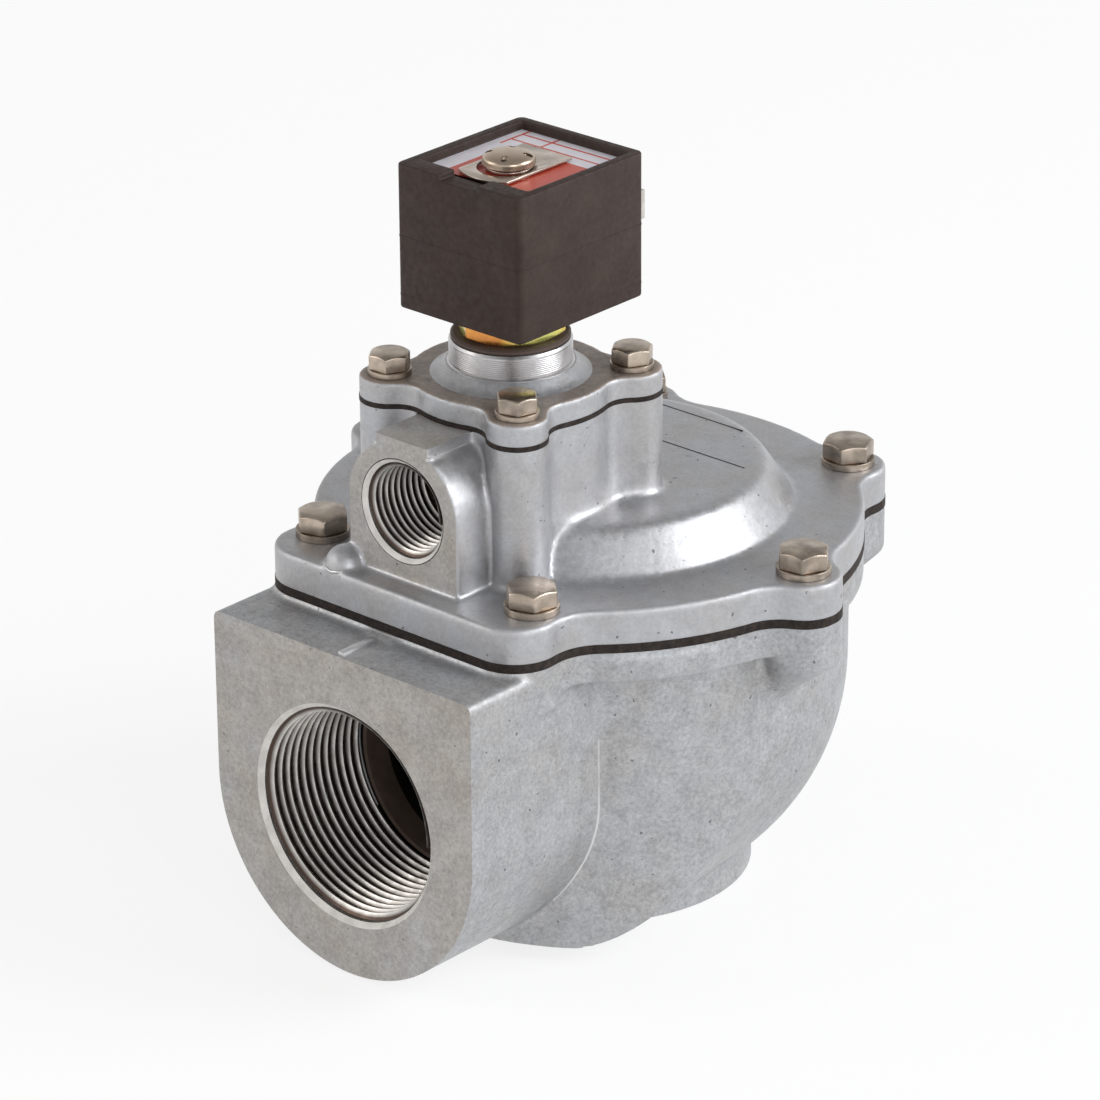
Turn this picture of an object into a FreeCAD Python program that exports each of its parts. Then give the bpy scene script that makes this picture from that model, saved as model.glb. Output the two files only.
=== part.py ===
import FreeCAD, Part
import math
import os
import re
import Sketcher

# Right-angle pulse valve with an integral two-stage pilot, in millimetres.
# Origin at the centre of the outlet mouth, inlet facing -Y, +Z up.

driving = {
    # ports
    "port_thread_radius": 23.9,
    "port_chamfer": 1.1,
    "inlet_height": 37.0,
    "inlet_reach": 77.7,
    "inlet_thread_length": 30.0,
    "inlet_half_width": 36.5,
    "inlet_top_drop": 1.0,
    "inlet_corner_radius": 1.5,
    "outlet_boss_radius": 35.4,
    "outlet_boss_inside": 12.0,
    "outlet_thread_length": 22.0,
    "throat_radius": 19.5,
    "tube_wall": 5.0,
    "thread_wall": 5.1,
    "seat_lip_width": 2.6,
    "seat_lip_height": 2.0,
    # body casting
    "body_top": 74.6,
    "body_flange_thickness": 7.0,
    "bowl_radius": 54.7,
    "bowl_offset": 2.0,
    "bowl_wall": 5.7,
    "bowl_cut": 8.6,
    "bowl_floor": 2.7,
    "front_round_width": 23.4,
    "front_round_height": 16.3,
    "rim_pad_rise": 0.5,
    "rim_pad_root": 1.5,
    "rim_pad_drop": 1.6,
    "rim_pad_start": 47.0,
    "rim_pad_angle": 25.0,
    "boss_depth": 10.0,
    "gusset_drop": 13.0,
    "gusset_radius": 4.0,
    "arrow_length": 8.0,
    "arrow_width": 1.6,
    "arrow_rise": 0.6,
    "arrow_inset": 12.0,
    # flange outline shared by body, diaphragm and cover
    "waist_radius": 59.0,
    "bolt_circle": 59.35,
    "lobe_radius": 8.2,
    "lobe_blend": 10.0,
    "corner_radius": 9.6,
    "corner_spread": 27.7,
    "corner_reach": 54.4,
    "corner_blend": 12.0,
    # main diaphragm and its hardware
    "rim_thickness": 2.0,
    "hub_thickness": 3.0,
    "hub_radius": 26.0,
    "web_thickness": 1.8,
    "bleed_radius": 0.6,
    "main_lift": 8.0,
    "lower_plate_radius": 17.0,
    "upper_plate_radius": 24.0,
    "plate_thickness": 2.0,
    "plate_lip": 3.0,
    "centre_screw_radius": 4.0,
    "centre_screw_across": 13.0,
    "centre_head_height": 4.0,
    "centre_nut_height": 5.0,
    "main_spring_radius": 14.0,
    "main_spring_wire": 1.8,
    "main_spring_turns": 3.5,
    "spring_steps": 10.0,
    # main cover casting
    "cover_flange_thickness": 7.6,
    "cover_edge_round": 0.8,
    "dome_base_radius": 44.0,
    "dome_top_radius": 37.7,
    "dome_height": 9.6,
    "dome_wall": 5.0,
    "cover_cavity_radius": 46.0,
    "ceiling_radius": 34.0,
    "spring_boss_radius": 11.5,
    "spring_boss_height": 1.4,
    "tower_offset": 24.5,
    "tower_height": 31.4,
    "tower_radius": 21.6,
    "pilot_spacing": 17.9,
    "pilot_lobe_radius": 6.4,
    "pilot_blend": 6.0,
    "exhaust_rise": 15.6,
    "exhaust_reach": 58.2,
    "exhaust_half_width": 15.4,
    "exhaust_pad_width": 14.6,
    "exhaust_pad_rise": 0.4,
    "exhaust_thread_radius": 10.48,
    "exhaust_thread_length": 14.0,
    "knob_radius": 4.3,
    "knob_offset": 15.3,
    "knob_inset": 4.4,
    # pilot stage
    "pilot_chamber_radius": 15.5,
    "pilot_chamber_depth": 8.6,
    "pilot_port_radius": 5.0,
    "pilot_port_wall": 3.0,
    "link_radius": 2.4,
    "link_offset": 11.8,
    "vent_radius": 0.7,
    "vent_offset": 18.3,
    "pilot_rim_thickness": 1.1,
    "pilot_hub_thickness": 2.0,
    "pilot_hub_radius": 9.0,
    "pilot_web_thickness": 1.0,
    "pilot_lift": 3.0,
    "pilot_plate_radius": 7.6,
    "pilot_plate_thickness": 1.0,
    "rivet_radius": 1.5,
    "rivet_head_radius": 3.8,
    "rivet_head_height": 1.0,
    "pilot_spring_radius": 5.2,
    "pilot_spring_wire": 0.6,
    "pilot_spring_turns": 3.0,
    # pilot cover
    "pilot_flange_thickness": 4.6,
    "pilot_ceiling_height": 2.8,
    "pilot_ceiling_radius": 13.0,
    "pilot_pocket_radius": 7.5,
    "pilot_pocket_height": 1.3,
    "skirt_radius": 15.8,
    "skirt_height": 2.3,
    "neck_radius": 13.0,
    "neck_height": 5.4,
    "socket_radius": 9.0,
    "socket_floor": 2.0,
    "nozzle_radius": 2.2,
    "nozzle_height": 1.2,
    "orifice_radius": 0.7,
    # fasteners
    "bolt_radius": 3.0,
    "bolt_length": 20.0,
    "bolt_across": 10.0,
    "bolt_head_height": 4.0,
    "bolt_washer_radius": 5.8,
    "bolt_washer_thickness": 1.5,
    "pilot_bolt_radius": 2.5,
    "pilot_bolt_length": 18.0,
    "pilot_bolt_across": 8.0,
    "pilot_bolt_head_height": 3.5,
    "pilot_washer_radius": 4.6,
    "pilot_washer_thickness": 1.2,
    "washer_split": 0.8,
    "thread_gap": 0.05,
    "hole_gap": 0.3,
    "tap_depth_spare": 0.8,
    # solenoid
    "seal_ring_height": 1.3,
    "base_across": 21.0,
    "base_height": 5.0,
    "base_turn": 53.0,
    "tube_radius": 6.5,
    "tube_skin": 0.7,
    "core_gap": 0.08,
    "core_length": 22.0,
    "core_lift": 2.0,
    "core_slot_depth": 8.0,
    "core_slot_radius": 3.2,
    "core_seal_radius": 3.4,
    "core_seal_height": 2.0,
    "core_spring_radius": 2.5,
    "core_spring_wire": 0.6,
    "core_spring_turns": 5.0,
    "stud_radius": 3.6,
    "stud_height": 3.8,
    # coil
    "coil_gap": 0.3,
    "coil_width": 34.3,
    "coil_depth": 38.6,
    "coil_height": 31.6,
    "coil_front": 15.9,
    "coil_corner_radius": 1.6,
    "coil_rim": 2.3,
    "coil_front_rim": 5.2,
    "coil_recess": 1.9,
    "coil_notch_width": 10.4,
    "coil_notch_depth": 1.3,
    "seam_rise": 0.15,
    "seam_height": 0.4,
    "plateau_size": 27.0,
    "plateau_rise": 1.0,
    "blade_length": 8.0,
    "blade_width": 6.3,
    "blade_thickness": 0.8,
    "blade_spread": 9.0,
    "label_gap": 0.4,
    "label_thickness": 0.2,
    # retaining clip
    "clip_width": 13.5,
    "clip_thickness": 0.6,
    "clip_back_reach": 12.0,
    "clip_front_reach": 10.2,
    "clip_bow": 2.2,
    "clip_lift": 0.5,
    "clip_tab_radius": 4.9,
    "clip_slot_radius": 5.9,
    "clip_slot_shift": 1.2,
    "clip_slot_back": 2.4,
    "cap_radius": 5.65,
    "cap_skin": 0.6,
    "cap_height": 2.7,
    "cap_slot_width": 1.4,
}

# heights and places that follow from the driving sizes
derived = {
    "bowl_round_height": "bowl_floor + bowl_radius - bowl_cut",
    "cover_bottom": "body_top + rim_thickness",
    "cover_seat": "cover_bottom + cover_flange_thickness",
    "dome_top": "cover_seat + dome_height",
    "ceiling": "dome_top - dome_wall",
    "seat_height": "cover_bottom - rim_thickness / 2 - hub_thickness / 2 - main_lift",
    "hub_top": "seat_height + hub_thickness",
    "upper_plate_top": "hub_top + plate_thickness",
    "tower_top": "cover_seat + tower_height",
    "exhaust_height": "cover_seat + exhaust_rise",
    "pilot_bottom": "tower_top + pilot_rim_thickness",
    "pilot_seat": "tower_top + pilot_rim_thickness / 2 - pilot_hub_thickness / 2 - pilot_lift",
    "pilot_hub_top": "pilot_seat + pilot_hub_thickness",
    "pilot_plate_top": "pilot_hub_top + pilot_plate_thickness",
    "pilot_chamber_floor": "tower_top - pilot_chamber_depth",
    "pilot_bolt_seat": "pilot_bottom + pilot_flange_thickness",
    "pilot_ceiling": "pilot_bottom + pilot_ceiling_height",
    "pilot_pocket_top": "pilot_ceiling + pilot_pocket_height",
    "neck_top": "pilot_bolt_seat + skirt_height + neck_height",
    "socket_bottom": "pilot_bolt_seat + socket_floor",
    "nozzle_top": "socket_bottom + nozzle_height",
    "base_bottom": "neck_top + seal_ring_height",
    "base_top": "base_bottom + base_height",
    "coil_bottom": "base_top + coil_gap",
    "coil_top": "coil_bottom + coil_height",
    "recess_floor": "coil_top - coil_recess",
    "core_bottom": "nozzle_top",
    "core_top": "core_bottom + core_length",
    "stop_bottom": "core_top + core_lift + core_gap",
    "tube_top": "recess_floor - coil_gap",
    "tube_bore": "tube_radius - tube_skin",
    "clip_bottom": "recess_floor + clip_lift",
    "clip_top": "clip_bottom + clip_thickness",
    "cap_bottom": "clip_top + coil_gap",
}

doc = FreeCAD.newDocument("PulseValve")
sheet = doc.addObject("Spreadsheet::Sheet", "Sizes")
for row, (alias, number) in enumerate(driving.items(), start=1):
    sheet.set("A%d" % row, alias)
    sheet.set("B%d" % row, str(number))
    sheet.setAlias("B%d" % row, alias)
doc.recompute()


def bound(text):
    """An expression over the sheet's cells, with the derived names written out."""
    def swap(match):
        word = match.group(0)
        if word in driving:
            return "Sizes." + word
        if word in derived:
            return "(" + bound(derived[word]) + ")"
        return word
    return re.sub(r"[a-z_]{3,}", swap, text)


def value(text):
    """The present number of an expression over the sheet's cells."""
    return float(sheet.evalExpression(bound(text)))


def vec(x, y, z):
    return FreeCAD.Vector(x, y, z)


def drive(item, **expressions):
    """Bind properties to the sheet; a double underscore stands for a dot."""
    for name, text in expressions.items():
        item.setExpression(name.replace("__", "."), bound(str(text)))
    return item


def place(item, x="0", y="0", z="0"):
    return drive(item, Placement__Base__x=x, Placement__Base__y=y, Placement__Base__z=z)


def add(kind, name, **expressions):
    return drive(doc.addObject("Part::" + kind, name), **expressions)


def cylinder(name, radius, low, high, x="0", y="0"):
    item = add("Cylinder", name, Radius=radius, Height="(%s) - (%s)" % (high, low))
    return place(item, x, y, low)


def hexagon(name, across, low, high, x="0", y="0"):
    item = add("Prism", name, Circumradius="(%s) / sqrt(3)" % across, Height="(%s) - (%s)" % (high, low))
    item.Polygon = 6
    return place(item, x, y, low)


def box(name, x_size, y_size, z_size, x, y, z):
    item = add("Box", name, Length=x_size, Width=y_size, Height=z_size)
    return place(item, x, y, z)


def fuse(name, items):
    item = doc.addObject("Part::MultiFuse", name)
    item.Shapes = items
    return item


def cut(name, base, tool):
    item = doc.addObject("Part::Cut", name)
    item.Base = base
    item.Tool = tool
    return item


def group(name, items):
    item = doc.addObject("Part::Compound", name)
    item.Links = items
    return item


def feature(name, shape):
    item = doc.addObject("Part::Feature", name)
    item.Shape = shape
    return item


def origin_item(body, role):
    return [item for item in body.Origin.OriginFeatures if item.Role == role][0]


def turned(name, points, y="0"):
    """A body turned about a vertical axis from a closed radius and height outline."""
    body = doc.addObject("PartDesign::Body", name)
    sketch = body.newObject("Sketcher::SketchObject", name + "_outline")
    sketch.AttachmentSupport = [(origin_item(body, "XZ_Plane"), "")]
    sketch.MapMode = "FlatFace"
    numbers = [(value(radius), value(height)) for radius, height in points]
    count = len(points)
    for index in range(count):
        start = vec(*numbers[index], 0)
        end = vec(*numbers[(index + 1) % count], 0)
        sketch.addGeometry(Part.LineSegment(start, end), False)
    for index in range(count):
        sketch.addConstraint(Sketcher.Constraint("Coincident", index, 2, (index + 1) % count, 1))
    for index, (radius, height) in enumerate(points):
        if radius == "0":
            sketch.addConstraint(Sketcher.Constraint("PointOnObject", index, 1, -2))
        else:
            label = sketch.addConstraint(
                Sketcher.Constraint("DistanceX", -1, 1, index, 1, numbers[index][0]))
            sketch.setExpression("Constraints[%d]" % label, bound(radius))
        label = sketch.addConstraint(
            Sketcher.Constraint("DistanceY", -1, 1, index, 1, numbers[index][1]))
        sketch.setExpression("Constraints[%d]" % label, bound(height))
    spin = body.newObject("PartDesign::Revolution", name + "_turn")
    spin.Profile = sketch
    spin.ReferenceAxis = (sketch, ["V_Axis"])
    spin.Angle = 360.0
    return place(body, "0", y, "0")


def polar(radius, degrees):
    return vec(radius * math.cos(math.radians(degrees)), radius * math.sin(math.radians(degrees)), 0)


def spring(name, radius, wire, low, high, turns, y="0"):
    """A coil spring between two heights, lofted through wire sections set round the coil."""
    wire_radius = value(wire) / 2
    rise = value(high) - value(low) - 2 * wire_radius
    steps = round(value(turns) * value("spring_steps"))
    sections = []
    for step in range(steps + 1):
        outward = polar(1, 360 * value(turns) * step / steps)
        centre = outward * value(radius) + vec(0, 0, wire_radius + rise * step / steps)
        corners = []
        for side in range(6):
            tilt = math.radians(30 + 60 * side)
            corners.append(centre + outward * (wire_radius * math.cos(tilt))
                           + vec(0, 0, wire_radius * math.sin(tilt)))
        sections.append(Part.makePolygon(corners + corners[:1]))
    item = feature(name, Part.makeLoft(sections, True, True))
    item.Placement.Base = vec(0, value(y), value(low))
    return item


def arc(start, middle, end):
    return Part.Arc(start, middle, end).toShape()


def towards(start, end, distance):
    return start + (end - start).normalize() * distance


class Lobe:
    """A round lobe on a round waist, with a hollow blend on each side."""

    def __init__(self, centre, radius, waist, blend):
        self.centre = centre
        self.radius = radius
        reach = centre.Length
        self.angle = math.degrees(math.atan2(centre.y, centre.x))
        swing = (waist + blend) ** 2 + reach ** 2 - (radius + blend) ** 2
        self.swing = math.degrees(math.acos(swing / (2 * reach * (waist + blend))))
        self.waist = waist
        self.blend = blend

    def side(self, sign):
        """Blend centre, point on the waist and point on the lobe, on one side."""
        angle = self.angle + sign * self.swing
        hollow = polar(self.waist + self.blend, angle)
        return hollow, polar(self.waist, angle), towards(self.centre, hollow, self.radius)

    def blend_edge(self, sign):
        hollow, on_waist, on_lobe = self.side(sign)
        middle = towards(hollow, (on_waist + on_lobe) * 0.5, self.blend)
        return arc(on_waist, middle, on_lobe)

    def crown_edge(self):
        ends = [self.side(sign)[2] for sign in (-1, 1)]
        crown = towards(vec(0, 0, 0), self.centre, self.centre.Length + self.radius)
        return arc(ends[0], crown, ends[1])


def waist_edge(waist, start, end):
    return arc(polar(waist, start), polar(waist, (start + end) / 2), polar(waist, end))


def face_of(edges):
    return Part.Face(Part.Wire(Part.__sortEdges__(edges)))


def flange_face():
    """The main flange: a round waist, four bolt lobes and a straight front between two corners."""
    waist = value("waist_radius")
    lobes = [Lobe(polar(value("bolt_circle"), angle), value("lobe_radius"), waist, value("lobe_blend"))
             for angle in (0, 60, 120, 180)]
    spread = value("corner_spread")
    reach = -value("corner_reach")
    radius = value("corner_radius")
    blend = value("corner_blend")
    right = Lobe(vec(spread, reach, 0), radius, waist, blend)
    left = Lobe(vec(-spread, reach, 0), radius, waist, blend)
    edges = [lobe.crown_edge() for lobe in lobes]
    edges += [lobe.blend_edge(sign) for lobe in lobes for sign in (-1, 1)]
    edges += [right.blend_edge(1), left.blend_edge(-1)]
    for before, after in zip(lobes, lobes[1:]):
        edges.append(waist_edge(waist, before.angle + before.swing, after.angle - after.swing))
    edges.append(waist_edge(waist, right.angle + right.swing, lobes[0].angle - lobes[0].swing))
    edges.append(waist_edge(waist, 180 + lobes[3].swing, 360 + left.angle - left.swing))
    for corner, sign in ((right, 1), (left, -1)):
        foot = corner.centre + vec(0, -radius, 0)
        side = corner.side(sign)[2]
        middle = towards(corner.centre, (foot + side) * 0.5, radius)
        edges.append(arc(foot, middle, side))
    front = reach - radius
    edges.append(Part.LineSegment(vec(-spread, front, 0), vec(spread, front, 0)).toShape())
    return face_of(edges)


def pilot_face():
    """The pilot flange: a round waist with a lobe at each corner bolt."""
    waist = value("tower_radius")
    reach = value("pilot_spacing") * math.sqrt(2)
    lobes = [Lobe(polar(reach, angle), value("pilot_lobe_radius"), waist, value("pilot_blend"))
             for angle in (45, 135, 225, 315)]
    edges = []
    for index, lobe in enumerate(lobes):
        after = (lobe.angle + 90) % 360
        edges += [lobe.crown_edge(), lobe.blend_edge(-1), lobe.blend_edge(1)]
        edges.append(waist_edge(waist, after - 90 + lobe.swing, after - lobe.swing))
    return face_of(edges).translated(vec(0, -value("tower_offset"), 0))


def slab(face, low, high):
    """A face drawn at height zero, raised between two heights."""
    start = value(low)
    return face.translated(vec(0, 0, start)).extrude(vec(0, 0, value(high) - start))


def pin(radius, low, high, x=0.0, y=0.0):
    start = value(low)
    return Part.makeCylinder(value(radius), value(high) - start, vec(x, y, start))


def cone(low_radius, high_radius, low, high, x=0.0, y=0.0):
    start = value(low)
    return Part.makeCone(value(low_radius), value(high_radius), value(high) - start, vec(x, y, start))


def bolt_places():
    """The six main bolts, the four pilot bolts: plan positions."""
    main = [polar(value("bolt_circle"), angle) for angle in range(0, 360, 60)]
    spacing = value("pilot_spacing")
    offset = vec(0, -value("tower_offset"), 0)
    pilot = [offset + vec(x * spacing, y * spacing, 0) for x in (-1, 1) for y in (-1, 1)]
    return main, pilot


main_places, pilot_places = bolt_places()
main_outline = flange_face()
pilot_outline = pilot_face()
tower_y = -value("tower_offset")
flat_normal = vec(0, 1, 0)


def bowl_section(y, shoulder, middle, inner, floor):
    """Front view of the bowl: upright sides, rounded lower corners and a flat floor."""
    half = value("bowl_radius")
    top = value("body_top - body_flange_thickness / 2")

    def corner(sign):
        bend = vec(sign * middle.x, y, middle.z)
        return arc(vec(sign * half, y, shoulder), bend, vec(sign * inner, y, floor))

    def line(start, end):
        return Part.LineSegment(vec(start[0], y, start[1]), vec(end[0], y, end[1])).toShape()

    return Part.Wire([
        line((-half, top), (half, top)),
        line((half, top), (half, shoulder)),
        corner(1),
        line((inner, floor), (-inner, floor)),
        corner(-1),
        line((-half, shoulder), (-half, top)),
    ])


def bowl_arc(radius, floor):
    """Middle and lower end of the bowl's rounding, seen in section."""
    drop = value("bowl_round_height") - floor
    turn = math.asin(drop / radius) / 2
    middle = vec(radius * math.cos(turn), 0, floor + drop - radius * math.sin(turn))
    return middle, math.sqrt(radius ** 2 - drop ** 2)


def bowl_profile(radius, floor, top):
    """Half section of the bowl, from the axis to its wall."""
    height = value("bowl_round_height")
    middle, edge = bowl_arc(radius, floor)
    return Part.Face(Part.Wire([
        Part.LineSegment(vec(0, 0, top), vec(radius, 0, top)).toShape(),
        Part.LineSegment(vec(radius, 0, top), vec(radius, 0, height)).toShape(),
        arc(vec(radius, 0, height), middle, vec(edge, 0, floor)),
        Part.LineSegment(vec(edge, 0, floor), vec(0, 0, floor)).toShape(),
        Part.LineSegment(vec(0, 0, floor), vec(0, 0, top)).toShape(),
    ]))


def bowl_shape():
    """A rounded bowl at the back that widens to a flat-floored trunk under the inlet."""
    radius = value("bowl_radius")
    floor = value("bowl_floor")
    top = value("body_top - body_flange_thickness / 2")
    back = bowl_profile(radius, floor, top).revolve(vec(0, 0, 0), vec(0, 0, 1), 180)
    middle, edge = bowl_arc(radius, floor)
    back_wire = bowl_section(0, value("bowl_round_height"), middle, edge, floor)
    width = value("front_round_width")
    rise = value("front_round_height")
    bend = vec(radius - width * (1 - math.sqrt(0.5)), 0, floor + rise * (1 - math.sqrt(0.5)))
    front_wire = bowl_section(-radius, floor + rise, bend, radius - width, floor)
    trunk = Part.makeLoft([front_wire, back_wire], True, True)
    round_wall = Part.makeCylinder(radius, top - floor, vec(0, 0, floor))
    return back.fuse(trunk.common(round_wall)).translated(vec(0, value("bowl_offset"), 0))


def inlet_block():
    """The square-shouldered block round the inlet, half round underneath."""
    half = value("inlet_half_width")
    axis = value("inlet_height")
    top = value("body_top - inlet_top_drop")
    front = -value("inlet_reach")
    corner = value("inlet_corner_radius")
    bend = corner * math.sqrt(0.5)
    outline = Part.Wire([
        Part.LineSegment(vec(-half + corner, front, top), vec(half - corner, front, top)).toShape(),
        arc(vec(half - corner, front, top), vec(half - corner + bend, front, top - corner + bend),
            vec(half, front, top - corner)),
        Part.LineSegment(vec(half, front, top - corner), vec(half, front, axis)).toShape(),
        arc(vec(half, front, axis), vec(0, front, axis - half), vec(-half, front, axis)),
        Part.LineSegment(vec(-half, front, axis), vec(-half, front, top - corner)).toShape(),
        arc(vec(-half, front, top - corner), vec(-half + corner - bend, front, top - corner + bend),
            vec(-half + corner, front, top)),
    ])
    return Part.Face(outline).extrude(vec(0, value("inlet_reach - tube_wall - throat_radius"), 0))


def rim_pad(start_angle):
    """A slightly raised trimming pad on the flange's side, between two bolt lobes."""
    height = value("body_flange_thickness - rim_pad_drop - rim_pad_rise")
    start = vec(0, 0, value("body_top - body_flange_thickness + rim_pad_rise"))
    sector = Part.makeCylinder(value("waist_radius + rim_pad_rise"), height, start, vec(0, 0, 1),
                               value("rim_pad_angle"))
    pad = sector.cut(Part.makeCylinder(value("waist_radius - rim_pad_root"), height, start))
    pad.rotate(vec(0, 0, 0), vec(0, 0, 1), start_angle)
    return pad


def gusset(spot, radius):
    """The slanted underside of a bolt boss, running in to the bowl's wall."""
    top = value("body_top - boss_depth")
    foot = towards(vec(0, 0, 0), spot, value("bowl_radius - 2 * gusset_radius"))
    upper = Part.Circle(spot + vec(0, 0, top), vec(0, 0, 1), radius)
    lower = Part.Circle(foot + vec(0, 0, top - value("gusset_drop")), vec(0, 0, 1), value("gusset_radius"))
    return Part.makeLoft([Part.Wire(lower.toShape()), Part.Wire(upper.toShape())], True, True)


def port_bore(radius, length, chamfer, mouth, inward):
    """A threaded port's smooth bore with its lead-in chamfer, from the mouth inward."""
    bore = Part.makeCylinder(radius, length, mouth, inward)
    lead = Part.makeCone(radius + chamfer, radius, chamfer, mouth, inward)
    return bore.fuse(lead)


def body_casting():
    """Bowl, inlet block, outlet boss and bolt bosses, cored out round a central outlet tube."""
    flange = slab(main_outline, "body_top - body_flange_thickness", "body_top")
    solid = bowl_shape().fuse([flange, inlet_block(), pin("outlet_boss_radius", "0", "outlet_boss_inside")])
    corner = vec(value("corner_spread"), -value("corner_reach"), 0)
    bosses = []
    for spot in main_places:
        in_corner = spot.y < -1
        centre = vec(math.copysign(corner.x, spot.x), corner.y, 0) if in_corner else spot
        radius = value("corner_radius") if in_corner else value("lobe_radius")
        start = value("body_top - boss_depth")
        drop = value("boss_depth - body_flange_thickness")
        bosses.append(Part.makeCylinder(radius, drop, centre + vec(0, 0, start)))
        bosses.append(gusset(centre, radius))
    arrow_front = -value("inlet_reach - arrow_inset")
    arrow = Part.makeBox(value("arrow_length"), value("arrow_width"), value("arrow_rise + arrow_width"),
                         vec(-value("arrow_length") / 2, arrow_front,
                             value("body_top - inlet_top_drop - arrow_width")))
    pad_start = value("rim_pad_start")
    pads = [rim_pad(-pad_start), rim_pad(180 + pad_start - value("rim_pad_angle"))]
    solid = solid.fuse(pads)
    for piece in bosses + [arrow]:
        solid = solid.fuse(piece)
    # the annular chamber, with the outlet tube left standing in it
    wall = value("bowl_wall")
    chamber_floor = value("bowl_floor") + wall
    chamber = bowl_profile(value("bowl_radius") - wall, chamber_floor,
                           value("body_top")).revolve(vec(0, 0, 0), vec(0, 0, 1), 360)
    thread_boss = value("port_thread_radius + thread_wall")
    tube = value("throat_radius + tube_wall")
    slope_start = value("outlet_thread_length + tube_wall")
    slope_end = slope_start + (thread_boss - tube)
    lip_bottom = "seat_height - seat_lip_height"
    stem = Part.makeCylinder(thread_boss, slope_start)
    stem = stem.fuse([
        Part.makeCone(thread_boss, tube, slope_end - slope_start, vec(0, 0, slope_start)),
        Part.makeCylinder(tube, value(lip_bottom) - slope_end, vec(0, 0, slope_end)),
        cone("throat_radius + tube_wall", "throat_radius + seat_lip_width", lip_bottom, "seat_height"),
    ])
    solid = solid.cut(chamber.cut(stem))
    # bores, from both ports
    mouth = vec(0, -value("inlet_reach"), value("inlet_height"))
    radius = value("port_thread_radius")
    chamfer = value("port_chamfer")
    inlet = port_bore(radius, value("inlet_thread_length"), chamfer, mouth, vec(0, 1, 0))
    window = Part.makeCylinder(radius - 2 * chamfer, value("inlet_reach - throat_radius - tube_wall"),
                               mouth, vec(0, 1, 0))
    keep_tube = pin("throat_radius + tube_wall", "0", "body_top")
    outlet = pin("port_thread_radius", "0", "outlet_thread_length")
    throat = pin("throat_radius", "0", "body_top")
    solid = solid.cut([inlet, window.cut(keep_tube), outlet, throat])
    depth = "bolt_length - bolt_washer_thickness - cover_flange_thickness - rim_thickness + tap_depth_spare"
    taps = [pin("bolt_radius + thread_gap", "body_top - (%s)" % depth, "body_top", spot.x, spot.y)
            for spot in main_places]
    return solid.cut(taps).removeSplitter()


def exhaust_boss():
    """The arch-topped boss round the exhaust port, on the front of the pilot tower."""
    half = value("exhaust_half_width")
    axis = value("exhaust_height")
    low = value("cover_seat - cover_flange_thickness / 2")
    front = -value("exhaust_reach")
    outline = Part.Wire([
        Part.LineSegment(vec(-half, front, axis), vec(-half, front, low)).toShape(),
        Part.LineSegment(vec(-half, front, low), vec(half, front, low)).toShape(),
        Part.LineSegment(vec(half, front, low), vec(half, front, axis)).toShape(),
        arc(vec(half, front, axis), vec(0, front, axis + half), vec(-half, front, axis)),
    ])
    return Part.Face(outline).extrude(vec(0, value("exhaust_reach - tower_offset"), 0))


def main_cover_casting():
    """Flange, domed lid, pilot tower and exhaust boss in one casting."""
    flange = slab(main_outline, "cover_bottom", "cover_seat")
    rim = [edge for edge in flange.Edges
           if abs(edge.BoundBox.ZMin - value("cover_seat")) < 1e-6 and edge.BoundBox.ZLength < 1e-6]
    flange = flange.makeFillet(value("cover_edge_round"), rim)
    dome = cone("dome_base_radius", "dome_top_radius", "cover_seat", "dome_top")
    tower = slab(pilot_outline, "cover_seat", "tower_top")
    knob = Part.makeSphere(value("knob_radius"), vec(
        -value("knob_offset"), value("knob_inset - corner_reach - corner_radius"), value("cover_seat")))
    knob = knob.common(slab(main_outline, "cover_bottom", "dome_top"))
    pad_half = value("exhaust_pad_width") / 2
    pad_top = value("exhaust_height + exhaust_half_width + exhaust_pad_rise")
    pad = Part.makeBox(2 * pad_half, value("exhaust_reach - tower_offset"), value("exhaust_half_width"),
                       vec(-pad_half, -value("exhaust_reach"), pad_top - value("exhaust_half_width")))
    solid = flange.fuse([dome, tower, exhaust_boss(), pad, knob])
    # spring chamber under the dome
    hollow = cone("cover_cavity_radius", "ceiling_radius", "cover_bottom", "ceiling")
    hollow = hollow.cut(pin("spring_boss_radius", "ceiling - spring_boss_height", "ceiling"))
    # pilot chamber with its raised seat
    chamber = pin("pilot_chamber_radius", "pilot_chamber_floor", "tower_top", 0, tower_y)
    seat = pin("pilot_port_radius + pilot_port_wall", "pilot_chamber_floor", "pilot_seat", 0, tower_y)
    port = pin("pilot_port_radius", "exhaust_height", "tower_top", 0, tower_y)
    link = pin("link_radius", "ceiling - dome_wall / 2", "pilot_chamber_floor + link_radius",
               0, tower_y + value("link_offset"))
    mouth = vec(0, -value("exhaust_reach"), value("exhaust_height"))
    exhaust = port_bore(value("exhaust_thread_radius"), value("exhaust_thread_length"),
                        value("port_chamfer"), mouth, flat_normal)
    passage = Part.makeCylinder(value("pilot_port_radius"), value("exhaust_reach - tower_offset"),
                                mouth, flat_normal)
    elbow = Part.makeSphere(value("pilot_port_radius"), vec(0, tower_y, value("exhaust_height")))
    vent = pin("vent_radius", "exhaust_height", "tower_top", 0, tower_y - value("vent_offset"))
    solid = solid.cut([hollow, chamber.cut(seat), port, link, exhaust, passage, elbow, vent])
    holes = [pin("bolt_radius + hole_gap", "cover_bottom", "cover_seat", spot.x, spot.y)
             for spot in main_places]
    depth = "pilot_bolt_length - pilot_washer_thickness - pilot_flange_thickness - pilot_rim_thickness"
    low = "tower_top - (%s) - tap_depth_spare" % depth
    taps = [pin("pilot_bolt_radius + thread_gap", low, "tower_top", spot.x, spot.y) for spot in pilot_places]
    return solid.cut(holes + taps).removeSplitter()


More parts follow.
